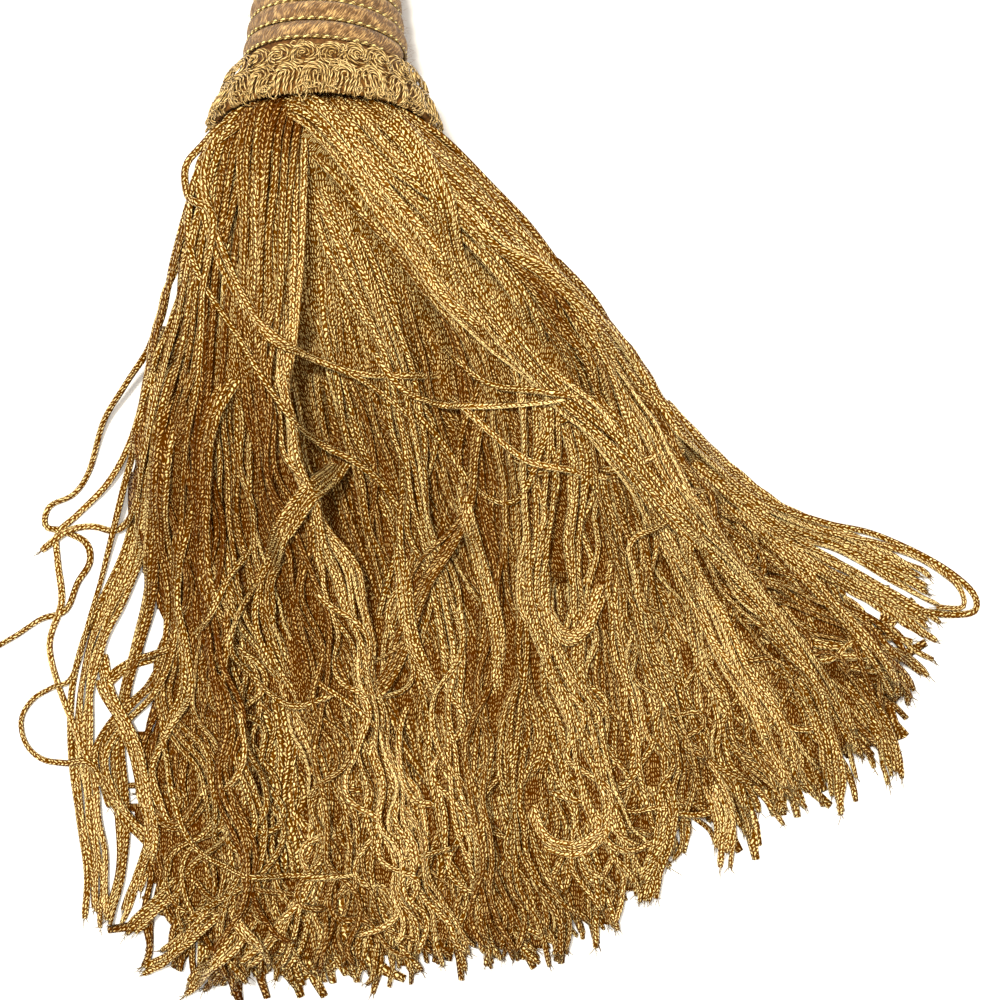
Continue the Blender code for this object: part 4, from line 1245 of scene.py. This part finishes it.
class TasselSkirtSettings(bpy.types.PropertyGroup):
    strands: IntProperty(name="Strands", description="About how many the fan has", default=530, min=50)
    strays: IntProperty(name="Strays", description="Tries at a short strand that lies across the others",
                        default=110, min=0)
    core_depth: length_setting("Core depth", "How far the packed inside lies under the top", 0.0014)
    strand_width: length_setting("Strand width", "Across one chain-knit strand", 0.00170)
    stitch_length: length_setting("Stitch length", "One chain stitch along a strand", 0.00120)
    stitch_relief: length_setting("Stitch relief", "Height of a stitch's legs", 0.0003)
    # The colour between the stitches is painted shade and the crests' colour a painted highlight; the strand's
    # body is its own colour.
    dark: colour_setting("Between stitches", "Colour down between the stitches", 86, 47, 0)
    body: colour_setting("Strand", "Colour of the strand's body", 132, 84, 2)
    bright: colour_setting("Crests", "Colour of the stitches' crests", 255, 229, 154)


class OBJECT_OT_tassel_skirt(bpy.types.Operator):
    """Lays the chain-knit fringe, strand on strand, and fans it out"""
    bl_idname = "object.tassel_skirt"
    bl_label = "Fringe skirt"

    def execute(self, context):
        settings = context.scene.tassel_skirt
        chance = np.random.default_rng(5)
        fan, heap = Fan(), Heap()
        laid = [*lay_ribbons(chance, fan, heap, settings), *lay_routes(chance, fan, heap, settings)]
        bundles = {name: Bundle() for name in (*SKINS, "skirt_frayed")}
        for strand in laid:
            add_strand(bundles[strand["piece"]], chance, settings, strand, **SKINS[strand["piece"]])
        for strand in laid:
            if strand["level"] > 0:
                fray(bundles["skirt_frayed"], chance, settings, strand["line"], strand["tone"])
        finish = chain_knit(settings)
        for name, bundle in bundles.items():
            bundle.finish(name, "skirt", finish)
        skirt_core(heap, settings, finish)
        return {"FINISHED"}


# ---------------------------------------------------------------- stage

class TasselStageSettings(bpy.types.PropertyGroup):
    camera_height: length_setting("Camera height", "Of the camera above the surface", 0.492)
    view_angle: FloatProperty(name="View angle", description="Across the whole picture",
                              default=math.radians(28.5), unit="ROTATION")
    centre: FloatVectorProperty(name="Middle of the view", description="Point that the camera is above",
                                subtype="XYZ", size=2, default=(0.0414, -0.0854))


def area_light(name, place, target, size, power, colour):
    light = bpy.data.lights.new(name, "AREA")
    light.shape, light.size, light.energy, light.color = "DISK", size, power, colour
    lamp = bpy.data.objects.new(name, light)
    lamp.location = place
    lamp.rotation_euler = (Vector(target) - Vector(place)).to_track_quat("-Z", "Y").to_euler()
    bpy.context.scene.collection.objects.link(lamp)


class OBJECT_OT_tassel_stage(bpy.types.Operator):
    """Makes the pale floor, the soft studio light and the camera"""
    bl_idname = "object.tassel_stage"
    bl_label = "Stage"

    def execute(self, context):
        settings = context.scene.tassel_stage
        bm = bmesh.new()
        bmesh.ops.create_grid(bm, x_segments=1, y_segments=1, size=3.0)
        mesh = bpy.data.meshes.new("floor")
        bm.to_mesh(mesh)
        bm.free()
        m = Nodes("pale_floor")
        m.shader.inputs["Base Color"].default_value = (0.80, 0.79, 0.77, 1.0)
        m.gloss(0.7, 0.3)
        mesh.materials.append(m.material)
        floor = bpy.data.objects.new("floor", mesh)
        context.scene.collection.objects.link(floor)

        x, y = settings.centre
        area_light("key", (x - 0.13, y + 0.17, 0.95), (x, y, 0), 0.12, 11.5, (1.0, 0.96, 0.87))
        area_light("soft", (x + 0.05, y - 0.05, 1.1), (x, y, 0), 0.6, 7.0, (1.0, 0.96, 0.90))
        world = bpy.data.worlds.new("studio")
        world.use_nodes = True
        world.node_tree.nodes["Background"].inputs[0].default_value = (1.0, 0.97, 0.92, 1.0)
        world.node_tree.nodes["Background"].inputs[1].default_value = 0.55
        context.scene.world = world
        context.scene.view_settings.view_transform = "Standard"

        lens = bpy.data.cameras.new("camera")
        lens.angle = settings.view_angle
        camera = bpy.data.objects.new("camera", lens)
        camera.location = (x, y, settings.camera_height)
        context.scene.collection.objects.link(camera)
        context.scene.camera = camera
        return {"FINISHED"}


# ---------------------------------------------------------------- add-on

class VIEW3D_PT_tassel(bpy.types.Panel):
    """Lists the tassel's pieces"""
    bl_label = "Curtain tieback tassel"
    bl_space_type = "VIEW_3D"
    bl_region_type = "UI"
    bl_category = "Tassel"

    def draw(self, context):
        for name in GROUPS:
            box = self.layout.box()
            settings = getattr(context.scene, name)
            for key in settings.bl_rna.properties.keys():
                if key not in {"rna_type", "name"}:
                    box.prop(settings, key)
            box.operator("object." + name)


GROUPS = {
    "tassel_head": TasselHeadSettings,
    "tassel_ruff": TasselRuffSettings,
    "tassel_skirt": TasselSkirtSettings,
    "tassel_stage": TasselStageSettings,
}
CLASSES = (*GROUPS.values(), OBJECT_OT_tassel_head, OBJECT_OT_tassel_ruff, OBJECT_OT_tassel_skirt,
           OBJECT_OT_tassel_stage, VIEW3D_PT_tassel)


def register():
    for cls in CLASSES:
        bpy.utils.register_class(cls)
    for name, group in GROUPS.items():
        setattr(bpy.types.Scene, name, PointerProperty(type=group))


def unregister():
    for name in GROUPS:
        delattr(bpy.types.Scene, name)
    for cls in reversed(CLASSES):
        bpy.utils.unregister_class(cls)


def main():
    register()
    bpy.ops.object.tassel_head()
    bpy.ops.object.tassel_ruff()
    bpy.ops.object.tassel_skirt()
    bpy.ops.object.tassel_stage()


if __name__ == "__main__":
    main()
